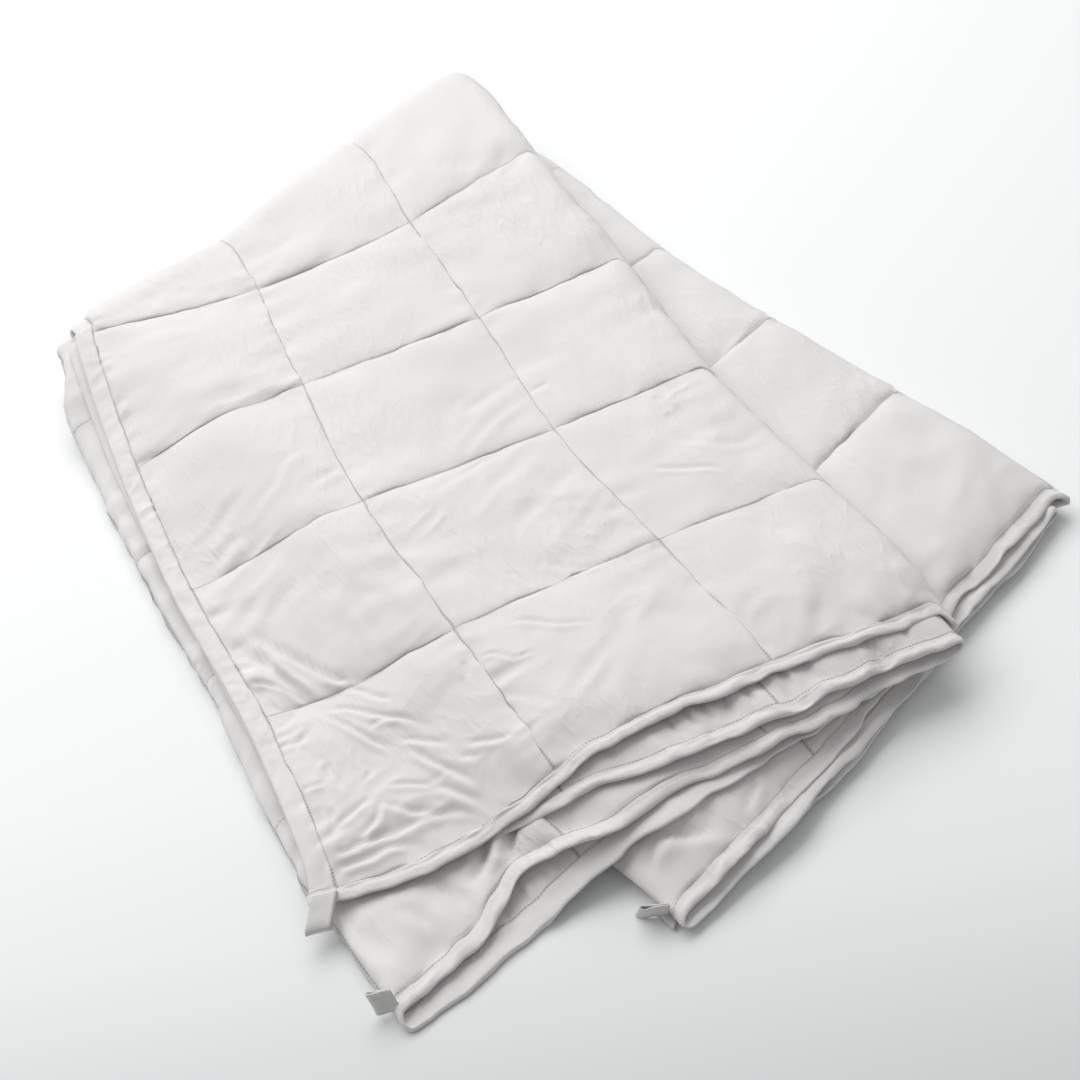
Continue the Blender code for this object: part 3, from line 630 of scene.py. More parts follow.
SHIFTS = [
    # name, u mm, q, reach along u mm, reach along q, shift in x, y and z mm
    ("back_corner", 0, 4.95, 42, 0.75, (17, -4, 0)),
    ("back_corner_under", 1830, 4.95, 42, 0.75, (17, -4, 0)),
    ("back_left_fold", 915, 4.6, 26, 0.55, (-5, 1, 0)),
    ("right_corner_in", 1372, -0.1, 30, 0.30, (6, -7, 0)),
    ("right_corner_out", 457, -0.1, 30, 0.30, (-3, 7, 0)),
    ("front_corner", 0, -0.1, 30, 0.22, (-4, 5, 0)),
    ("front_corner_tip", 0, -0.1, 15, 0.10, (-3, 11, 0)),
    ("third_pull_a", 1018, -0.1, 23, 0.26, (5, 14, 3)),
    ("third_pull_b", 1050, -0.1, 30, 0.26, (4, 11, 2)),
    ("back_flange", 0, 4.80, 16, 0.30, (-3, -1, -3)),
    ("second_back", 1795, -0.1, 85, 0.30, (5, 15, 0)),
    ("front_raised", 235, -0.1, 95, 0.45, (1.5, 4, 5)),
    ("low_end", 915, 10.1, 60, 0.45, (4, 10, -3)),
    ("low_end_seventh", 1830, 10.1, 85, 0.45, (9, 20, 0)),
    ("low_end_eighth", 0, 10.1, 85, 0.45, (9, 21, 0)),
    ("fifth_left", 915, 9.3, 42, 0.8, (0, 0, -7)),
    ("seventh_left", 1830, 9.3, 40, 0.8, (9, -3, -4)),
    ("eighth_left", 0, 9.3, 40, 0.8, (11, -4, 0)),
]


def drift(u, v):
    """Waves of the cloth as a whole, the same on both faces: mostly at the free edges."""
    edge_v = np.exp(-np.minimum(v, FLAT_V - v) / 0.030)
    edge_u = np.exp(-np.minimum(u, FLAT_U - u) / 0.030)
    total = 0.0013 * edge_v * fbm(u / 0.045, v / 0.2, 31) + 0.0012 * edge_u * fbm(v / 0.045, u / 0.2, 37)
    for name, cu, cv, ru, rv, height in LIFTS:
        x, y = (u * 1000 - cu) / ru, (v * 1000 - cv) / rv
        total = total + height / 1000 * np.exp(-x * x - y * y)
    for name, height, width, points in FOLDS:
        path = smooth_path(points) / 1000
        low, high = path.min(0) - 0.025, path.max(0) + 0.025
        m = (u > low[0]) & (u < high[0]) & (v > low[1]) & (v < high[1])
        if m.any():
            d, t = along_path(u[m], v[m], path)
            total[m] += height / 1000 * np.exp(-((d * 1000 / width) ** 2)) * step(t / 0.35)
    return total


def pressed(u, v):
    """The layers sag onto each other along the free edges, where there is no filling."""
    layer = np.clip(np.floor(u / QUARTER), 0, 3).astype(int)
    top, low = np.array([-2.3, 0.9, -2.6, 0.0]), np.array([0.0, -5.4, 3.9, -2.4])
    amount = np.where(v < 0.76, top[layer], low[layer]) / 1000
    fold = np.abs(u - QUARTER * np.round(u / QUARTER))
    fold = np.where((u < 0.1) | (u > FLAT_U - 0.1), 1.0, fold)
    edge = np.minimum(v, FLAT_V - v)
    uneven = 0.85 + 0.45 * noise2(u / 0.038, v * 0, 39)
    return amount * step(fold / 0.022) * np.exp(-((edge / 0.027) ** 2)) * uneven


def moved(u, q):
    """How far each place of the cloth is pushed from where the folds alone put it."""
    total = np.zeros(np.shape(u) + (3,))
    for name, cu, cq, ru, rq, shift in SHIFTS:
        w = np.exp(-(((u * 1000 - cu) / ru) ** 2) - ((q - cq) / rq) ** 2)
        total = total + w[..., None] * np.array(shift) / 1000
    return total


HEM_SHOWN = 0.0105      # the front and back hems are mostly this wide; those at the sides the full margin


def drawn_in(u, q):
    """The front hems are narrower than the margin: from even steps to places on the cloth."""
    v = MARGIN + CELL * q
    shown = HEM_SHOWN + 0.0080 * step((u - 0.56) / 0.14) * step((0.905 - u) / 0.03)
    shown = np.where(v < FLAT_V / 2, shown + 0.0045 * np.exp(-(((u - 1.02) / 0.045) ** 2)), HEM_SHOWN)
    end = np.minimum(v, FLAT_V - v)
    put = np.where(end < MARGIN, end * shown / MARGIN, shown + (end - MARGIN) * (0.050 - shown) / (0.050 - MARGIN))
    put = np.where(end < 0.050, put, end)
    return (np.where(v < FLAT_V / 2, put, FLAT_V - put) - MARGIN) / CELL


def dv_of(v):
    f = (v - MARGIN) / CELL
    return np.abs(f - np.round(f)) * CELL


def surface(u, q, side):
    even = q
    q = drawn_in(u, even)
    place, v, normal = frames(u, q)
    v = v + CELL * (even - q)
    out = relief(u, v, side)
    point = place + normal * (drift(u, v) + pressed(u, v) + side * out)[..., None]
    point = point + moved(u, q)
    # no seam or hem runs quite straight
    along_u = folded(np.clip(u + 0.002, 0, FLAT_U - 1e-6), q)[0] - folded(np.clip(u - 0.002, 0, FLAT_U - 1e-6), q)[0]
    along_u /= np.maximum(np.linalg.norm(along_u, axis=-1, keepdims=True), 1e-9)
    along_q = folded(u, q + 0.02)[0] - folded(u, q - 0.02)[0]
    along_q /= np.maximum(np.linalg.norm(along_q, axis=-1, keepdims=True), 1e-9)
    sway_u = 0.0011 * noise2(v / 0.026, u / 0.05, 91) + 0.0007 * noise2(v / 0.010, u / 0.03, 92)
    edge = np.exp(-((np.minimum(v, FLAT_V - v) / 0.024) ** 2))
    sway_v = edge * (0.0026 * noise2(u / 0.046, v * 0 + np.round(v), 95) + 0.0011 * noise2(u / 0.017, v * 0, 96))
    sway_v = sway_v + 0.0011 * noise2(u / 0.026, v / 0.05, 93) + 0.0008 * noise2(u / 0.010, v / 0.03, 94)
    fold = 1 - np.exp(-(((np.mod(u + QUARTER / 2, QUARTER) - QUARTER / 2) / 0.02) ** 2))
    point = point + along_u * (sway_u * fold)[..., None] + along_q * sway_v[..., None]
    if side > 0:
        # the far cell leans over the seam in front of it
        ahead = folded(u, q + 0.02)[0] - folded(u, q - 0.02)[0]
        ahead /= np.maximum(np.linalg.norm(ahead, axis=-1, keepdims=True), 1e-9)
        f = (v - MARGIN) / CELL
        seam = np.where(v < 0.8, np.floor(f), np.ceil(f))
        d = np.abs(f - seam) * CELL
        d = np.where((seam < 0) | (seam > ROWS), 1.0, d)
        beside = np.abs((u - MARGIN) / CELL - np.round((u - MARGIN) / CELL)) * CELL
        lean = 0.0018 * (d / 0.0035) * np.exp(1 - d / 0.0035) * (1 - np.exp(-beside / 0.006))
        lean *= 0.8 + 0.5 * noise2(u / 0.03, seam * 3.7, 83)
        point = point - ahead * (np.where(v < 0.8, 1.0, -1.0) * lean)[..., None]
        # and cells lean over the long seams from both sides, unevenly
        across = folded(np.clip(u + 0.003, 0, FLAT_U - 1e-6), q)[0] - folded(np.clip(u - 0.003, 0, FLAT_U - 1e-6), q)[0]
        across /= np.maximum(np.linalg.norm(across, axis=-1, keepdims=True), 1e-9)
        f = (u - MARGIN) / CELL
        seam = np.round(f)
        d = (f - seam) * CELL
        reach = np.abs(d)
        over = 0.0021 * (reach / 0.0030) * np.exp(1 - reach / 0.0030) * (1 - np.exp(-dv_of(v) / 0.005))
        over *= np.clip(0.75 + 0.7 * noise2(v / 0.02, seam * 3.7 + np.sign(d) * 1.9, 85), 0.1, 1.4)
        over *= (seam >= 0) & (seam <= COLUMNS) & (v > MARGIN) & (v < FLAT_V - MARGIN)
        point = point - across * (np.sign(d) * over)[..., None]
    _, g = section(u)
    lowest = ((q < 4.7) & (g < 0.8)) | ((q > 5.3) & (g > 3.2))
    under = lowest & (side * normal[..., 2] < -0.2)
    point[..., 2] = np.where(under & (point[..., 2] < 0.0048), 0.0, np.maximum(point[..., 2], np.where(under, 0, 0.0002)))
    return point, v


# ---------------------------------------------------------------- mesh
def base_lines(count):
    """Lines 10 mm either side of each seam and four equal steps between seams."""
    lines = [0.0]
    for k in range(count + 1):
        seam = MARGIN + CELL * k
        if k:
            before = seam - CELL + 0.010
            lines += [before + (CELL - 0.020) * s / 4 for s in (1, 2, 3)]
        lines += [seam - 0.010, seam + 0.010]
    return np.array(lines + [MARGIN * 2 + CELL * count])


FINE = 16


def lattice(lines):
    steps = np.arange(FINE) / FINE
    inner = (lines[:-1, None] + np.diff(lines)[:, None] * steps).ravel()
    return np.append(inner, lines[-1])


def thin_strip(u0, u1, v0, v1):
    return (u1 - u0) < 0.006, (v1 - v0) < 0.006


def creased(u0, u1, v0, v1, side):
    """Whether a narrow crease runs through a patch."""
    for name, face, depth, width, points in CREASES:
        if face != side or width > 3.2 or depth < 0.75:
            continue
        path = smooth_path(points) / 1000
        near = (path[:, 0] > u0 - 0.002) & (path[:, 0] < u1 + 0.002) & (path[:, 1] > v0 - 0.002) & (path[:, 1] < v1 + 0.002)
        if near.any():
            return True
    return False


def level(side, u0, u1, v0, v1):
    """How often a patch of a face is divided each way, from where it shows."""
    u, v = (u0 + u1) / 2, (v0 + v1) / 2
    seam_u, seam_v = (u1 - u0) < 0.021, (v1 - v0) < 0.021
    lu, lv = 1, 1
    if side > 0:
        if u < 0.44 and v < 0.82:
            fine = 8 if v < 0.40 else 4
            lu = 16 if seam_u else (8 if seam_v else fine)
            lv = 16 if seam_v and v < 0.7 else (8 if seam_u or seam_v else fine)
            if seam_u and seam_v and v > 0.33:
                lu, lv = 16, 8
            if u < 0.026:
                lu, lv = 8, 16
        elif u < 0.48 and v < 0.86:
            lu, lv = (16 if v < 0.33 else 8), (8 if seam_v or v < 0.33 else 4)
        elif u < 0.48 and v > 1.49:
            lu, lv = 4, 8
        elif u < 0.48 and v > 0.86:
            lu, lv = (4 if u > 0.44 or u < 0.03 else 2), 2
        elif u < 0.66 and v > 0.82:
            lu, lv = (8 if seam_u or seam_v else 4), (8 if seam_u or seam_v or v > 1.46 else 4)
        elif u < 0.92 and v > 1.36:
            lu, lv = (8, 8) if v > 1.42 else (4, 4)
        elif 0.86 < u < 0.97:
            lu, lv = (16 if 0.89 < u < 0.94 and v < 0.34 else 8), (8 if v < 0.15 or v > 1.40 else 4)
        elif 0.90 < u < 1.39 and v < 0.13:
            lu, lv = (8 if u < 1.2 or v < 0.03 else 4), 8
        elif 0.74 < v < 0.95 and u < 0.5:
            lu, lv = 4, 8
        elif 0.70 < v < 0.86:
            lu, lv = 2, 4
        elif v > 1.49:
            lu, lv = 4, 8
    else:
        if v < 0.07 and u > 1.36:
            lu, lv = 8, (8 if v < 0.03 else 4)
        elif v < 0.03 and u > 0.44:
            lu, lv = 8, 8
        elif v > 1.49:
            lu, lv = 4, 8
        elif v < 0.07:
            lu, lv = (8 if 0.68 < u < 0.88 else 4), 8
        elif 0.70 < v < 0.86:
            lu, lv = 2, 4
        elif 0.89 < u < 0.94 or 0.44 < u < 0.48 or 1.36 < u < 1.39:
            lu, lv = 8, 2
    if max(lu, lv) > 4 and creased(u0, u1, v0, v1, side):
        lu, lv = 16, 16
    thin_u, thin_v = thin_strip(u0, u1, v0, v1)
    return (min(lu, 4) if thin_u else lu), (min(lv, 4) if thin_v else lv)


def cloth_mesh(name):
    u_lines, v_lines = base_lines(COLUMNS), base_lines(ROWS)
    us, vs = lattice(u_lines), lattice(v_lines)
    nu, nv = len(u_lines) - 1, len(v_lines) - 1
    verts_u, verts_q, verts_side = [], [], []
    index, faces = {}, []
    levels = {}
    for side in (1, -1):
        for i in range(nu):
            for j in range(nv):
                levels[side, i, j] = level(side, u_lines[i], u_lines[i + 1], v_lines[j], v_lines[j + 1])
    for i in range(nu):
        for j in range(nv):
            if i in (0, nu - 1) or j in (0, nv - 1):
                a, b = levels[1, i, j], levels[-1, i, j]
                levels[1, i, j] = levels[-1, i, j] = (max(a[0], b[0]), max(a[1], b[1]))
    for (side, i, j), (lu, lv) in levels.items():
        for s in range(lu + 1):
            for t in range(lv + 1):
                key = (side, i * FINE + s * FINE // lu, j * FINE + t * FINE // lv)
                if key not in index:
                    index[key] = len(verts_u)
                    verts_u.append(us[key[1]])
                    verts_q.append((vs[key[2]] - MARGIN) / CELL)
                    verts_side.append(side)

    def along(side, a, b):
        """Vertices from lattice point a up to, but without, b."""
        (ia, ja), (ib, jb) = a, b
        di, dj = np.sign(ib - ia), np.sign(jb - ja)
        found = []
        for k in range(max(abs(ib - ia), abs(jb - ja))):
            at = index.get((side, ia + k * di, ja + k * dj))
            if at is not None:
                found.append(at)
        return found

    for (side, i, j), (lu, lv) in levels.items():
        hu, hv = FINE // lu, FINE // lv
        for s in range(lu):
            for t in range(lv):
                i0, j0 = i * FINE + s * hu, j * FINE + t * hv
                corners = [(i0, j0), (i0 + hu, j0), (i0 + hu, j0 + hv), (i0, j0 + hv)]
                if 0 < s < lu - 1 and 0 < t < lv - 1:
                    ring = [index[(side,) + c] for c in corners]
                else:
                    ring = []
                    for k in range(4):
                        ring += along(side, corners[k], corners[(k + 1) % 4])
                faces.append(ring if side > 0 else ring[::-1])
    # the rim: a rounded edge between the two faces
    mi, mj = nu * FINE, nv * FINE
    rim = [(k, 0) for k in range(mi)] + [(mi, k) for k in range(mj)]
    rim += [(mi - k, mj) for k in range(mi)] + [(0, mj - k) for k in range(mj)]
    rim = [p for p in rim if (1,) + p in index]
    first = len(verts_u)
    for p in rim:
        verts_u.append(us[p[0]])
        verts_q.append((vs[p[1]] - MARGIN) / CELL)
        verts_side.append(0)
    n = len(rim)
    for k in range(n):
        m = (k + 1) % n
        a0, a1 = index[(1,) + rim[k]], index[(1,) + rim[m]]
        b0, b1 = index[(-1,) + rim[k]], index[(-1,) + rim[m]]
        faces.append([a1, a0, first + k, first + m])
        faces.append([first + m, first + k, b0, b1])
    u, q, side = np.array(verts_u), np.array(verts_q), np.array(verts_side)
    points, flat_v = np.zeros((len(u), 3)), np.zeros(len(u))
    for which in (1, -1):
        m = side == which
        points[m], flat_v[m] = surface(u[m], q[m], which)
    m = side == 0
    top, flat_v[m] = surface(u[m], q[m], 1)
    low, _ = surface(u[m], q[m], -1)
    eu = np.where(u[m] < 0.001, -1.0, np.where(u[m] > FLAT_U - 0.001, 1.0, 0.0))
    ev = np.where(q[m] < -0.099, -1.0, np.where(q[m] > ROWS + 0.099, 1.0, 0.0))
    back_u, back_q = u[m] - eu * 0.003, q[m] - ev * 0.02
    inner = (surface(back_u, back_q, 1)[0] + surface(back_u, back_q, -1)[0]) / 2
    middle = (top + low) / 2
    way = middle - inner
    way /= np.maximum(np.linalg.norm(way, axis=-1, keepdims=True), 1e-9)
    points[m] = middle + way * 0.0008
    points[m, 2] = np.maximum(points[m, 2], 0.0002)
    points[:, 0] -= CENTRE[0]
    points[:, 1] -= CENTRE[1]
    mesh = bpy.data.meshes.new(name)
    mesh.from_pydata(points.tolist(), [], faces)
    mesh.validate()
    loops = np.zeros(len(mesh.loops), np.int32)
    mesh.loops.foreach_get("vertex_index", loops)
    uv = np.stack([u[loops], flat_v[loops]], -1)
    layer = mesh.uv_layers.new(name="cloth")
    layer.data.foreach_set("uv", uv.astype(np.float32).ravel())
    mesh.shade_smooth()
    obj = bpy.data.objects.new(name, mesh)
    bpy.context.scene.collection.objects.link(obj)
    return obj


# ---------------------------------------------------------------- materials
def new_material(name):
    material = bpy.data.materials.new(name)
    material.use_nodes = True
    tree = material.node_tree
    shader = tree.nodes["Principled BSDF"]
    return material, tree, shader


def link(tree, a, out, b, into):
    tree.links.new(a.outputs[out], b.inputs[into])


def calc(tree, operation, *values):
    node = tree.nodes.new("ShaderNodeMath")
    node.operation = operation
    for k, value in enumerate(values):
        if isinstance(value, (int, float)):
            node.inputs[k].default_value = value
        else:
            tree.links.new(value, node.inputs[k])
    return node.outputs[0]


def seam_shade(tree, where):
    """Painted shade: 1 in the grooves that the sewing pulls down, in dashes between the stitches, where the colour is
    dimmed for the grooves' shade.
    """
    parts = tree.nodes.new("ShaderNodeSeparateXYZ")
    tree.links.new(where.outputs["UV"], parts.inputs[0])
    found = []
    for this, other, wide, full in (("X", "Y", 0.0019, 1.25), ("Y", "X", 0.0013, 0.8)):
        cells = calc(tree, "DIVIDE", calc(tree, "SUBTRACT", parts.outputs[this], MARGIN), CELL)
        off = calc(tree, "ABSOLUTE", calc(tree, "SUBTRACT", cells, calc(tree, "ROUND", cells)))
        line = calc(tree, "SUBTRACT", 1.0, calc(tree, "MULTIPLY", off, CELL / wide))
        line = calc(tree, "MAXIMUM", line, 0.0)
        dash = calc(tree, "SINE", calc(tree, "MULTIPLY", parts.outputs[other], 2 * 3.14159265 / 0.0026))
        dash = calc(tree, "ADD", calc(tree, "MULTIPLY", dash, 0.30), 0.70)
        long = FLAT_V if other == "Y" else FLAT_U
        half = long / 2 - MARGIN + 0.0008
        middle = calc(tree, "ABSOLUTE", calc(tree, "SUBTRACT", parts.outputs[other], long / 2))
        here = calc(tree, "LESS_THAN", middle, half)
        found.append(calc(tree, "MULTIPLY", calc(tree, "MULTIPLY", line, dash), calc(tree, "MULTIPLY", here, full)))
    return calc(tree, "MINIMUM", calc(tree, "MAXIMUM", *found), 1.0)


def cloth_material(name, colour, uv=True, pitch=0.00042, seams=False):
    """Matte plain-weave cotton: threads both ways, slubs and slight unevenness of tone; with seams, also painted shade
    dimming the colour along the seam lines, and a crumple bump.
    """
    material, tree, shader = new_material(name)
    nodes = tree.nodes
    where = nodes.new("ShaderNodeTexCoord")
    source = "UV" if uv else "Object"
    tone = nodes.new("ShaderNodeTexNoise")
    tone.inputs["Scale"].default_value = 9.0
    tone.inputs["Detail"].default_value = 5.0
    link(tree, where, source, tone, "Vector")
    seam_painted_shade = seam_shade(tree, where) if seams else None
    ramp = nodes.new("ShaderNodeValToRGB")
    ramp.color_ramp.elements[0].position = 0.30
    ramp.color_ramp.elements[1].position = 0.72
    ramp.color_ramp.elements[0].color = (*(c * 0.965 for c in colour), 1)
    ramp.color_ramp.elements[1].color = (*(min(1, c * 1.02) for c in colour), 1)
    link(tree, tone, "Fac", ramp, "Fac")
    if seam_painted_shade:
        painted_shade_mix = nodes.new("ShaderNodeMix")
        painted_shade_mix.data_type = "RGBA"
        painted_shade_mix.blend_type = "MULTIPLY"
        tree.links.new(seam_painted_shade, painted_shade_mix.inputs["Factor"])
        tree.links.new(ramp.outputs["Color"], painted_shade_mix.inputs[6])
        # painted shade: the seam lines are painted with this dimmer colour
        painted_shade_mix.inputs[7].default_value = (0.50, 0.485, 0.475, 1)
        tree.links.new(painted_shade_mix.outputs[2], shader.inputs["Base Color"])
    else:
        link(tree, ramp, "Color", shader, "Base Color")
    shader.inputs["Roughness"].default_value = 0.88
    shader.inputs["Specular IOR Level"].default_value = 0.25
    shader.inputs["Sheen Weight"].default_value = 0.12
    shader.inputs["Sheen Roughness"].default_value = 0.5
    waves = []
    for axis in ("X", "Y"):
        wave = nodes.new("ShaderNodeTexWave")
        wave.wave_type = "BANDS"
        wave.bands_direction = axis
        wave.inputs["Scale"].default_value = 1 / pitch / 20 * 1.0 * 3.14159
        wave.inputs["Distortion"].default_value = 1.2
        wave.inputs["Detail"].default_value = 2.0
        wave.inputs["Detail Scale"].default_value = 1.5
        link(tree, where, source, wave, "Vector")
        waves.append(wave)
    both = nodes.new("ShaderNodeMath")
    both.operation = "ADD"
    link(tree, waves[0], "Fac", both, 0)
    link(tree, waves[1], "Fac", both, 1)
    slub = nodes.new("ShaderNodeTexNoise")
    slub.inputs["Scale"].default_value = 420.0
    slub.inputs["Detail"].default_value = 4.0
    link(tree, where, source, slub, "Vector")
    total = nodes.new("ShaderNodeMath")
    total.operation = "ADD"
    link(tree, both, 0, total, 0)
    link(tree, slub, "Fac", total, 1)
    bump = nodes.new("ShaderNodeBump")
    bump.inputs["Strength"].default_value = 0.35
    bump.inputs["Distance"].default_value = 0.00022
    link(tree, total, 0, bump, "Height")
    if seams:
        stretch = nodes.new("ShaderNodeMapping")
        stretch.inputs["Rotation"].default_value = (0.0, 0.0, 0.6)
        stretch.inputs["Scale"].default_value = (1.0, 0.34, 1.0)
        link(tree, where, source, stretch, "Vector")
        crumple = nodes.new("ShaderNodeTexNoise")
        crumple.inputs["Scale"].default_value = 75.0
        crumple.inputs["Detail"].default_value = 2.0
        crumple.inputs["Roughness"].default_value = 0.5
        crumple.inputs["Distortion"].default_value = 0.25
        link(tree, stretch, "Vector", crumple, "Vector")
        ridge = calc(tree, "ABSOLUTE", calc(tree, "SUBTRACT", crumple.outputs["Fac"], 0.5))
        ridge = calc(tree, "POWER", calc(tree, "SUBTRACT", 1.0, calc(tree, "MULTIPLY", ridge, 2.0)), 3.0)
        patches = nodes.new("ShaderNodeTexNoise")
        patches.inputs["Scale"].default_value = 8.0
        patches.inputs["Detail"].default_value = 1.0
        link(tree, where, source, patches, "Vector")
        amount = calc(tree, "MULTIPLY", calc(tree, "MAXIMUM", calc(tree, "SUBTRACT", patches.outputs["Fac"], 0.34), 0.0), 2.6)
        fine = nodes.new("ShaderNodeBump")
        fine.inputs["Strength"].default_value = 1.0
        fine.inputs["Distance"].default_value = 0.0009
        tree.links.new(calc(tree, "MULTIPLY", ridge, amount), fine.inputs["Height"])
        link(tree, fine, "Normal", bump, "Normal")
    link(tree, bump, "Normal", shader, "Normal")
    return material


def plain_material(name, colour, roughness):
    material, tree, shader = new_material(name)
    shader.inputs["Base Color"].default_value = (*colour, 1)
    shader.inputs["Roughness"].default_value = roughness
    shader.inputs["Specular IOR Level"].default_value = 0.2
    return material


GREY = (0.785, 0.770, 0.762)
quilt_cloth = cloth_material("quilt_cotton", GREY, seams=True)
ribbon_cloth = cloth_material("loop_ribbon", (0.70, 0.69, 0.675), pitch=0.0007)

# ---------------------------------------------------------------- pieces
quilt = cloth_mesh("quilt_cloth")
quilt.data.materials.append(quilt_cloth)
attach(quilt, "root")
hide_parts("quilt")
print("quilt triangles", sum(len(p.vertices) - 2 for p in quilt.data.polygons))

# seams that show: name, face, u and q where the row of stitches starts and ends, height over the face mm
STITCHES = [
    ("top_left", UP, (0.015, -0.02), (0.015, 4.72), 0.0),
    ("top_first", UP, (0.165, 0.0), (0.165, 4.72), -0.05),
    ("top_second", UP, (0.315, 0.0), (0.315, 4.72), -0.05),
    ("top_front", UP, (0.015, 0.0), (0.460, 0.0), 0.1),
    ("row_1", UP, (0.015, 1.0), (0.460, 1.0), 0.0),
    ("row_2", UP, (0.015, 2.0), (0.460, 2.0), 0.0),
    ("row_3", UP, (0.015, 3.0), (0.460, 3.0), 0.0),
    ("row_4", UP, (0.015, 4.0), (0.460, 4.0), 0.0),
    ("second_hem", DOWN, (1.375, 0.0), (1.815, 0.0), 0.2),
    ("third_hem", UP, (0.918, 0.0), (1.370, 0.0), 0.1),
    ("third_long", UP, (1.215, 0.0), (1.215, 0.9), 0.1),
    ("third_longer", UP, (1.065, 0.0), (1.065, 0.6), 0.1),
    ("fourth_hem", DOWN, (0.460, 0.0), (0.912, 0.0), 0.2),
    ("fifth_hem", UP, (0.460, 10.0), (0.912, 10.0), 0.1),
    ("fifth_long", UP, (0.615, 5.6), (0.615, 10.0), 0.1),
    ("fifth_longer", UP, (0.765, 9.0), (0.765, 10.0), 0.1),
    ("sixth_hem", DOWN, (0.918, 10.0), (1.370, 10.0), 0.2),
    ("seventh_hem", UP, (1.375, 10.0), (1.815, 10.0), 0.1),
    ("right_row_7", UP, (0.460, 7.0), (0.620, 7.0), 0.0),
    ("right_row_8", UP, (0.460, 8.0), (0.620, 8.0), 0.0),
    ("right_row_9", UP, (0.460, 9.0), (0.700, 9.0), 0.0),
]
STITCH_PITCH = 0.0026
STITCH_LONG = 0.0019


def stitch_mesh(name):
    verts, faces = [], []
    for label, face, start, end, height in STITCHES:
        n = 400
        u, q = np.linspace(start[0], end[0], n), np.linspace(start[1], end[1], n)
        path, _ = surface(u, q, face)
        _, _, normal = frames(u, q)
        path = path + normal * (face * height / 1000)
        far = np.concatenate([[0], np.cumsum(np.linalg.norm(np.diff(path, axis=0), axis=1))])
        count = int(far[-1] / STITCH_PITCH)
        for k in range(count):
            d0 = (k + 0.1) * STITCH_PITCH
            d1 = d0 + STITCH_LONG
            a = np.array([np.interp(d0, far, path[:, c]) for c in range(3)])
            b = np.array([np.interp(d1, far, path[:, c]) for c in range(3)])
            up = np.array([np.interp(d0, far, normal[:, c]) for c in range(3)]) * face
            along = (b - a) / max(np.linalg.norm(b - a), 1e-9)
            side = np.cross(along, up)
            side /= max(np.linalg.norm(side), 1e-9)
            up = np.cross(side, along)
            lean = side * 0.00012 * (1 if k % 2 else -1)
            first = len(verts)
            mid0, mid1 = a * 0.72 + b * 0.28, a * 0.28 + b * 0.72
            verts += [a - up * 0.00025 - lean, b - up * 0.00025 + lean]
            for mid in (mid0 - lean * 0.4, mid1 + lean * 0.4):
                verts += [mid + side * 0.00027, mid + up * 0.00030, mid - side * 0.00027, mid - up * 0.00020]
            for c in range(4):
                d = (c + 1) % 4
                faces.append((first, first + 2 + c, first + 2 + d))
                faces.append((first + 2 + c, first + 6 + c, first + 6 + d, first + 2 + d))
                faces.append((first + 6 + c, first + 1, first + 6 + d))
    verts = np.array(verts) - np.array([CENTRE[0], CENTRE[1], 0])
    verts[:, 2] = np.maximum(verts[:, 2], 0.0002)
    mesh = bpy.data.meshes.new(name)
    mesh.from_pydata(verts.tolist(), [], faces)
    mesh.shade_smooth()
    obj = bpy.data.objects.new(name, mesh)
    bpy.context.scene.collection.objects.link(obj)
    return obj


thread = plain_material("sewing_thread", (0.66, 0.645, 0.63), 0.7)
stitches = stitch_mesh("stitches")
stitches.data.materials.append(thread)
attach(stitches, "root")
print("stitch triangles", sum(len(p.vertices) - 2 for p in stitches.data.polygons))

RIBBON_WIDTH = 0.016
RIBBON_THICK = 0.0008
LOOPS = [
    # node, length, drop, u and q where the root starts and ends, on the face, raised, way, eye, tilt degrees at root and end
    ("loop_corner_top", 0.0235, 0.0055, (0.001, -0.045), (0.017, -0.045), True, 0.0, (-0.0102, -0.0151, -0.0020), 0.0021, 0, 6),
    ("loop_side_top", 0.0150, 0.0010, (0.921, -0.1), (0.921, -0.01), False, 0.004, (-0.0125, 0.0045, -0.0010), 0.0017, 56, 62),
    ("loop_side_low", 0.0180, 0.0010, (0.915, 10.04), (0.915, 9.933), False, 0.002, (-0.0149, 0.0070, -0.0005), 0.0016, 98, 106),
    ("loop_corner_low", 0.0200, 0.0005, (0.006, 10.07), (0.006, 9.963), False, 0.0, (-0.72, -0.70, 0.0), 0.0012, 0, 0),
]


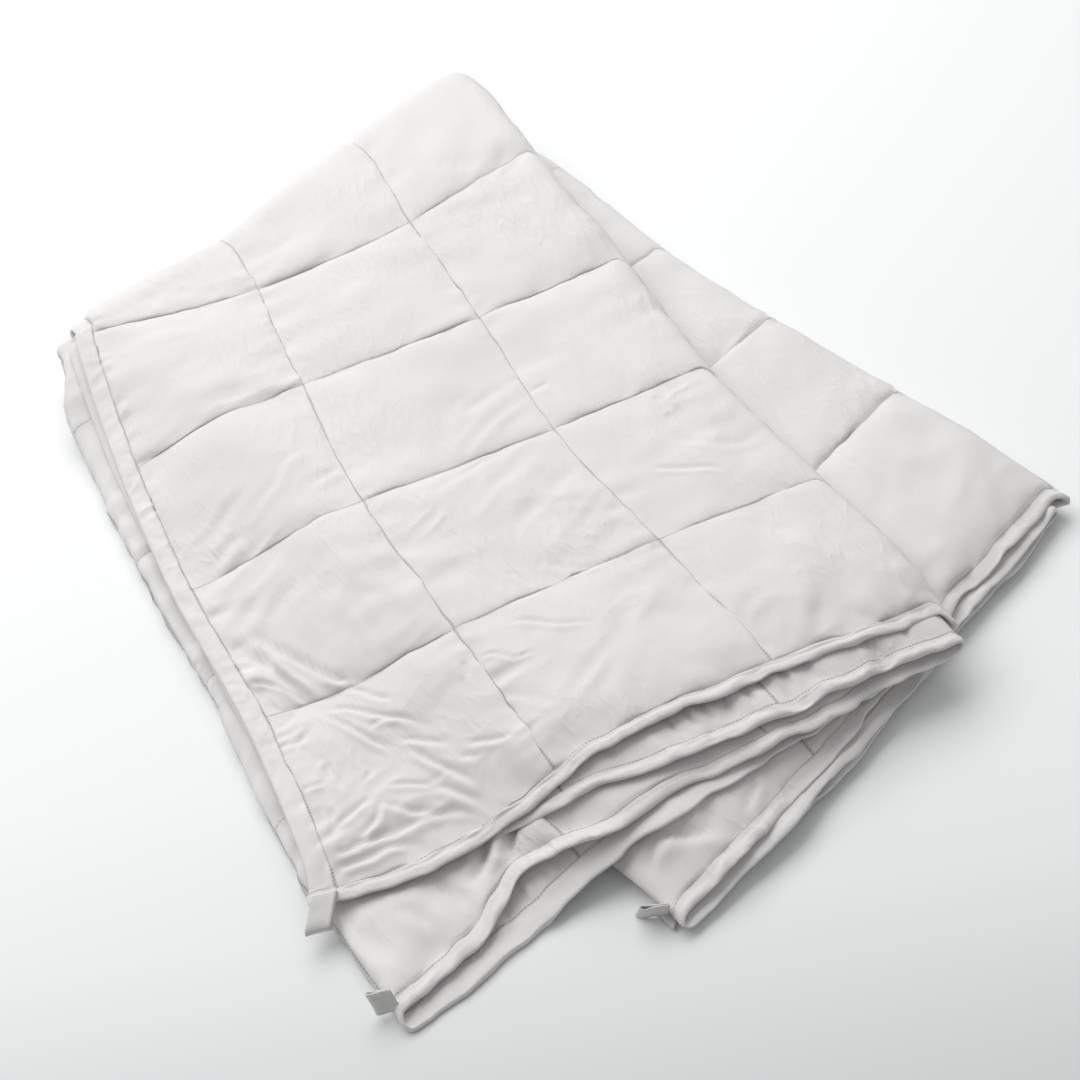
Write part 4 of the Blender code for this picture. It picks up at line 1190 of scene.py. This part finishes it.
def ribbon_loop(node, length, drop, start, end, on_face, raised, way, eye, tilt0, tilt1):
    """A woven ribbon bent double, with a small open eye where it turns back."""
    u, q = np.array([start, end]).T
    if on_face:
        ends, _ = surface(u, q, UP)
    else:
        ends = folded(u, q)[0] + moved(u, q)
    side = (ends[1] - ends[0]) / np.linalg.norm(ends[1] - ends[0])
    way = np.array(way) / np.linalg.norm(way)
    up = np.cross(way, side)
    up = up / np.linalg.norm(up) * np.sign(up[2])
    out = way
    root = ends.mean(0) + (up * 0.0016 if on_face else out * (SEAM / 2 + 0.0001)) + np.array([0, 0, raised])
    thin = RIBBON_THICK / 2 + 0.00025
    steps = 34
    path = []
    for k in range(steps + 1):
        t = k / steps
        if t < 0.40:
            s = t / 0.40
            path.append((s * (length - eye), thin + (eye - thin) * step((s - 0.45) / 0.55)))
        elif t <= 0.60:
            a = np.pi * (t - 0.40) / 0.20
            path.append((length - eye + eye * np.sin(a), eye * np.cos(a)))
        else:
            s = (1 - t) / 0.40
            path.append((s * (length - eye), -thin - (eye - thin) * step((s - 0.45) / 0.55)))
    across = np.linspace(-0.5, 0.5, 9)
    verts = []
    for k, (far, lift) in enumerate(path):
        share = far / length
        here, after = path[max(k - 1, 0)], path[min(k + 1, steps)]
        direction = np.array([after[0] - here[0], after[1] - here[1]])
        direction /= np.linalg.norm(direction)
        turn = np.radians(tilt0 + (tilt1 - tilt0) * share)
        c, s = np.cos(turn), np.sin(turn)
        wide, thick = side * c + up * s, up * c - side * s
        face = -out * direction[1] + thick * direction[0]
        middle = root + out * far + thick * lift - up * drop * share**2
        for way_out in (1, -1):
            for a in across:
                selvage = 1.0 + 0.35 * step((abs(a) - 0.40) / 0.08)
                wave = 0.00018 * np.sin(9 * share + 5 * a + 2.0 * way_out)
                verts.append(middle + wide * (a * RIBBON_WIDTH * (0.96 + 0.06 * share)) + face * (way_out * RIBBON_THICK / 2 * selvage + wave * share))
    n = len(across)
    faces = []
    for k in range(steps):
        base, nxt = 2 * n * k, 2 * n * (k + 1)
        for c in range(n - 1):
            faces.append((base + c, base + c + 1, nxt + c + 1, nxt + c))
            faces.append((base + n + c + 1, base + n + c, nxt + n + c, nxt + n + c + 1))
        faces.append((base + n, base, nxt, nxt + n))
        faces.append((base + n - 1, base + 2 * n - 1, nxt + 2 * n - 1, nxt + n - 1))
    for base, flip in ((0, False), (2 * n * steps, True)):
        for c in range(n - 1):
            f = (base + c + 1, base + c, base + n + c, base + n + c + 1)
            faces.append(f[::-1] if flip else f)
    verts = np.array(verts) - np.array([CENTRE[0], CENTRE[1], 0])
    low = verts[:, 2].min()
    if low < 0.0003:
        verts[:, 2] = np.where(verts[:, 2] < 0.006, 0.0003 + (verts[:, 2] - low) * (0.006 - 0.0003) / (0.006 - low), verts[:, 2])
    mesh = bpy.data.meshes.new(node + "_ribbon")
    mesh.from_pydata(verts.tolist(), [], faces)
    mesh.validate()
    layer = mesh.uv_layers.new(name="cloth")
    loops = np.zeros(len(mesh.loops), np.int32)
    mesh.loops.foreach_get("vertex_index", loops)
    far = np.concatenate([[0], np.cumsum([np.hypot(b[0] - a[0], b[1] - a[1]) for a, b in zip(path, path[1:])])])
    uv = np.stack([across[loops % n] * RIBBON_WIDTH, far[loops // (2 * n)]], -1)
    layer.data.foreach_set("uv", uv.astype(np.float32).ravel())
    mesh.shade_smooth()
    obj = bpy.data.objects.new(node + "_ribbon", mesh)
    bpy.context.scene.collection.objects.link(obj)
    obj.data.materials.append(ribbon_cloth)
    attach(obj, "root")
    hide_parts(node)
    return obj


for row in LOOPS:
    ribbon_loop(*row)

# ---------------------------------------------------------------- stage
def floor_material_painted_falloff():
    """Pale paper, its colour darkening towards the front: painted shade for the light falling off there."""
    material, tree, shader = new_material("floor_paper_painted_falloff")
    where = tree.nodes.new("ShaderNodeTexCoord")
    parts = tree.nodes.new("ShaderNodeSeparateXYZ")
    link(tree, where, "Object", parts, 0)
    front = calc(tree, "ADD", calc(tree, "MULTIPLY", parts.outputs["X"], 0.358), calc(tree, "MULTIPLY", parts.outputs["Y"], 0.934))
    share = calc(tree, "DIVIDE", calc(tree, "ADD", front, 0.60), 0.60)
    ramp = tree.nodes.new("ShaderNodeValToRGB")
    # painted shade: the paper's colour dims from back to front, standing in for the light's falloff
    painted_falloff_stops = [(0.0, 0.73), (0.10, 0.79), (0.20, 0.865), (0.30, 0.94), (0.50, 0.985), (0.90, 1.0)]
    ramp.color_ramp.elements[0].position = painted_falloff_stops[0][0]
    ramp.color_ramp.elements[1].position = painted_falloff_stops[-1][0]
    for place, _ in painted_falloff_stops[1:-1]:
        ramp.color_ramp.elements.new(place)
    for element, (_, tone) in zip(ramp.color_ramp.elements, painted_falloff_stops):
        element.color = (0.905 * tone, 0.92 * tone, 0.925 * tone, 1)
    tree.links.new(share, ramp.inputs["Fac"])
    link(tree, ramp, "Color", shader, "Base Color")
    grain = tree.nodes.new("ShaderNodeTexNoise")
    grain.inputs["Scale"].default_value = 900.0
    link(tree, where, "Object", grain, "Vector")
    bump = tree.nodes.new("ShaderNodeBump")
    bump.inputs["Strength"].default_value = 0.05
    bump.inputs["Distance"].default_value = 0.0001
    link(tree, grain, "Fac", bump, "Height")
    link(tree, bump, "Normal", shader, "Normal")
    shader.inputs["Roughness"].default_value = 0.9
    shader.inputs["Specular IOR Level"].default_value = 0.2
    return material


def make_floor():
    mesh = bpy.data.meshes.new("floor")
    s = 6.0
    mesh.from_pydata([(-s, -s, 0), (s, -s, 0), (s, s, 0), (-s, s, 0)], [], [(0, 1, 2, 3)])
    floor = bpy.data.objects.new("floor", mesh)
    floor.location.z = -0.0002
    bpy.context.scene.collection.objects.link(floor)
    floor.data.materials.append(floor_material_painted_falloff())


def area_light(name, place, aim, size, power, colour=(1, 1, 1)):
    lamp = bpy.data.lights.new(name, "AREA")
    lamp.shape = "RECTANGLE"
    lamp.size, lamp.size_y = size
    lamp.energy = power
    lamp.color = colour
    obj = bpy.data.objects.new(name, lamp)
    back = (Matrix.Translation(place).translation - Matrix.Translation(aim).translation).normalized()
    obj.matrix_world = Matrix.Translation(place) @ back.to_track_quat("Z", "Y").to_matrix().to_4x4()
    bpy.context.scene.collection.objects.link(obj)


make_floor()
area_light("key", (-0.35, 1.35, 2.1), (0, 0.2, 0), (3.8, 1.9), 65)
world = bpy.data.worlds.new("studio")
world.use_nodes = True

def surroundings(tree):
    """White surroundings that are brighter behind and above than on the near side."""
    where = tree.nodes.new("ShaderNodeTexCoord")
    turn = tree.nodes.new("ShaderNodeVectorMath")
    turn.operation = "DOT_PRODUCT"
    turn.inputs[1].default_value = (0.22, 0.76, 0.61)
    link(tree, where, "Generated", turn, 0)
    level = calc(tree, "ADD", calc(tree, "MULTIPLY", turn.outputs["Value"], 0.30), 0.33)
    tree.links.new(calc(tree, "MAXIMUM", level, 0.05), tree.nodes["Background"].inputs["Strength"])
    tree.nodes["Background"].inputs["Color"].default_value = (1.0, 1.0, 1.0, 1)


surroundings(world.node_tree)
bpy.context.scene.world = world
bpy.context.scene.view_settings.view_transform = "Standard"

# ---------------------------------------------------------------- camera
EYE = (-0.0511 - CENTRE[0], -1.1331 - CENTRE[1], 0.8633)
AZIMUTH, ELEVATION, ROLL = np.radians([20.951, 46.089, 7.043])
FOCAL_PIXELS = 1580.0


def make_camera():
    data = bpy.data.cameras.new("camera")
    data.sensor_fit = "HORIZONTAL"
    data.sensor_width = 36.0
    data.lens = 36.0 * FOCAL_PIXELS / 1080.0
    data.clip_start = 0.02
    ahead = np.array([
        np.sin(AZIMUTH) * np.cos(ELEVATION), np.cos(AZIMUTH) * np.cos(ELEVATION), -np.sin(ELEVATION)
    ])
    right = np.cross(ahead, [0, 0, 1])
    right /= np.linalg.norm(right)
    down = np.cross(ahead, right)
    x = np.cos(ROLL) * right + np.sin(ROLL) * down
    y = np.sin(ROLL) * right - np.cos(ROLL) * down
    camera = bpy.data.objects.new("camera", data)
    camera.matrix_world = Matrix([
        (x[0], y[0], -ahead[0], EYE[0]),
        (x[1], y[1], -ahead[1], EYE[1]),
        (x[2], y[2], -ahead[2], EYE[2]),
        (0, 0, 0, 1),
    ])
    bpy.context.scene.collection.objects.link(camera)
    bpy.context.scene.camera = camera


make_camera()
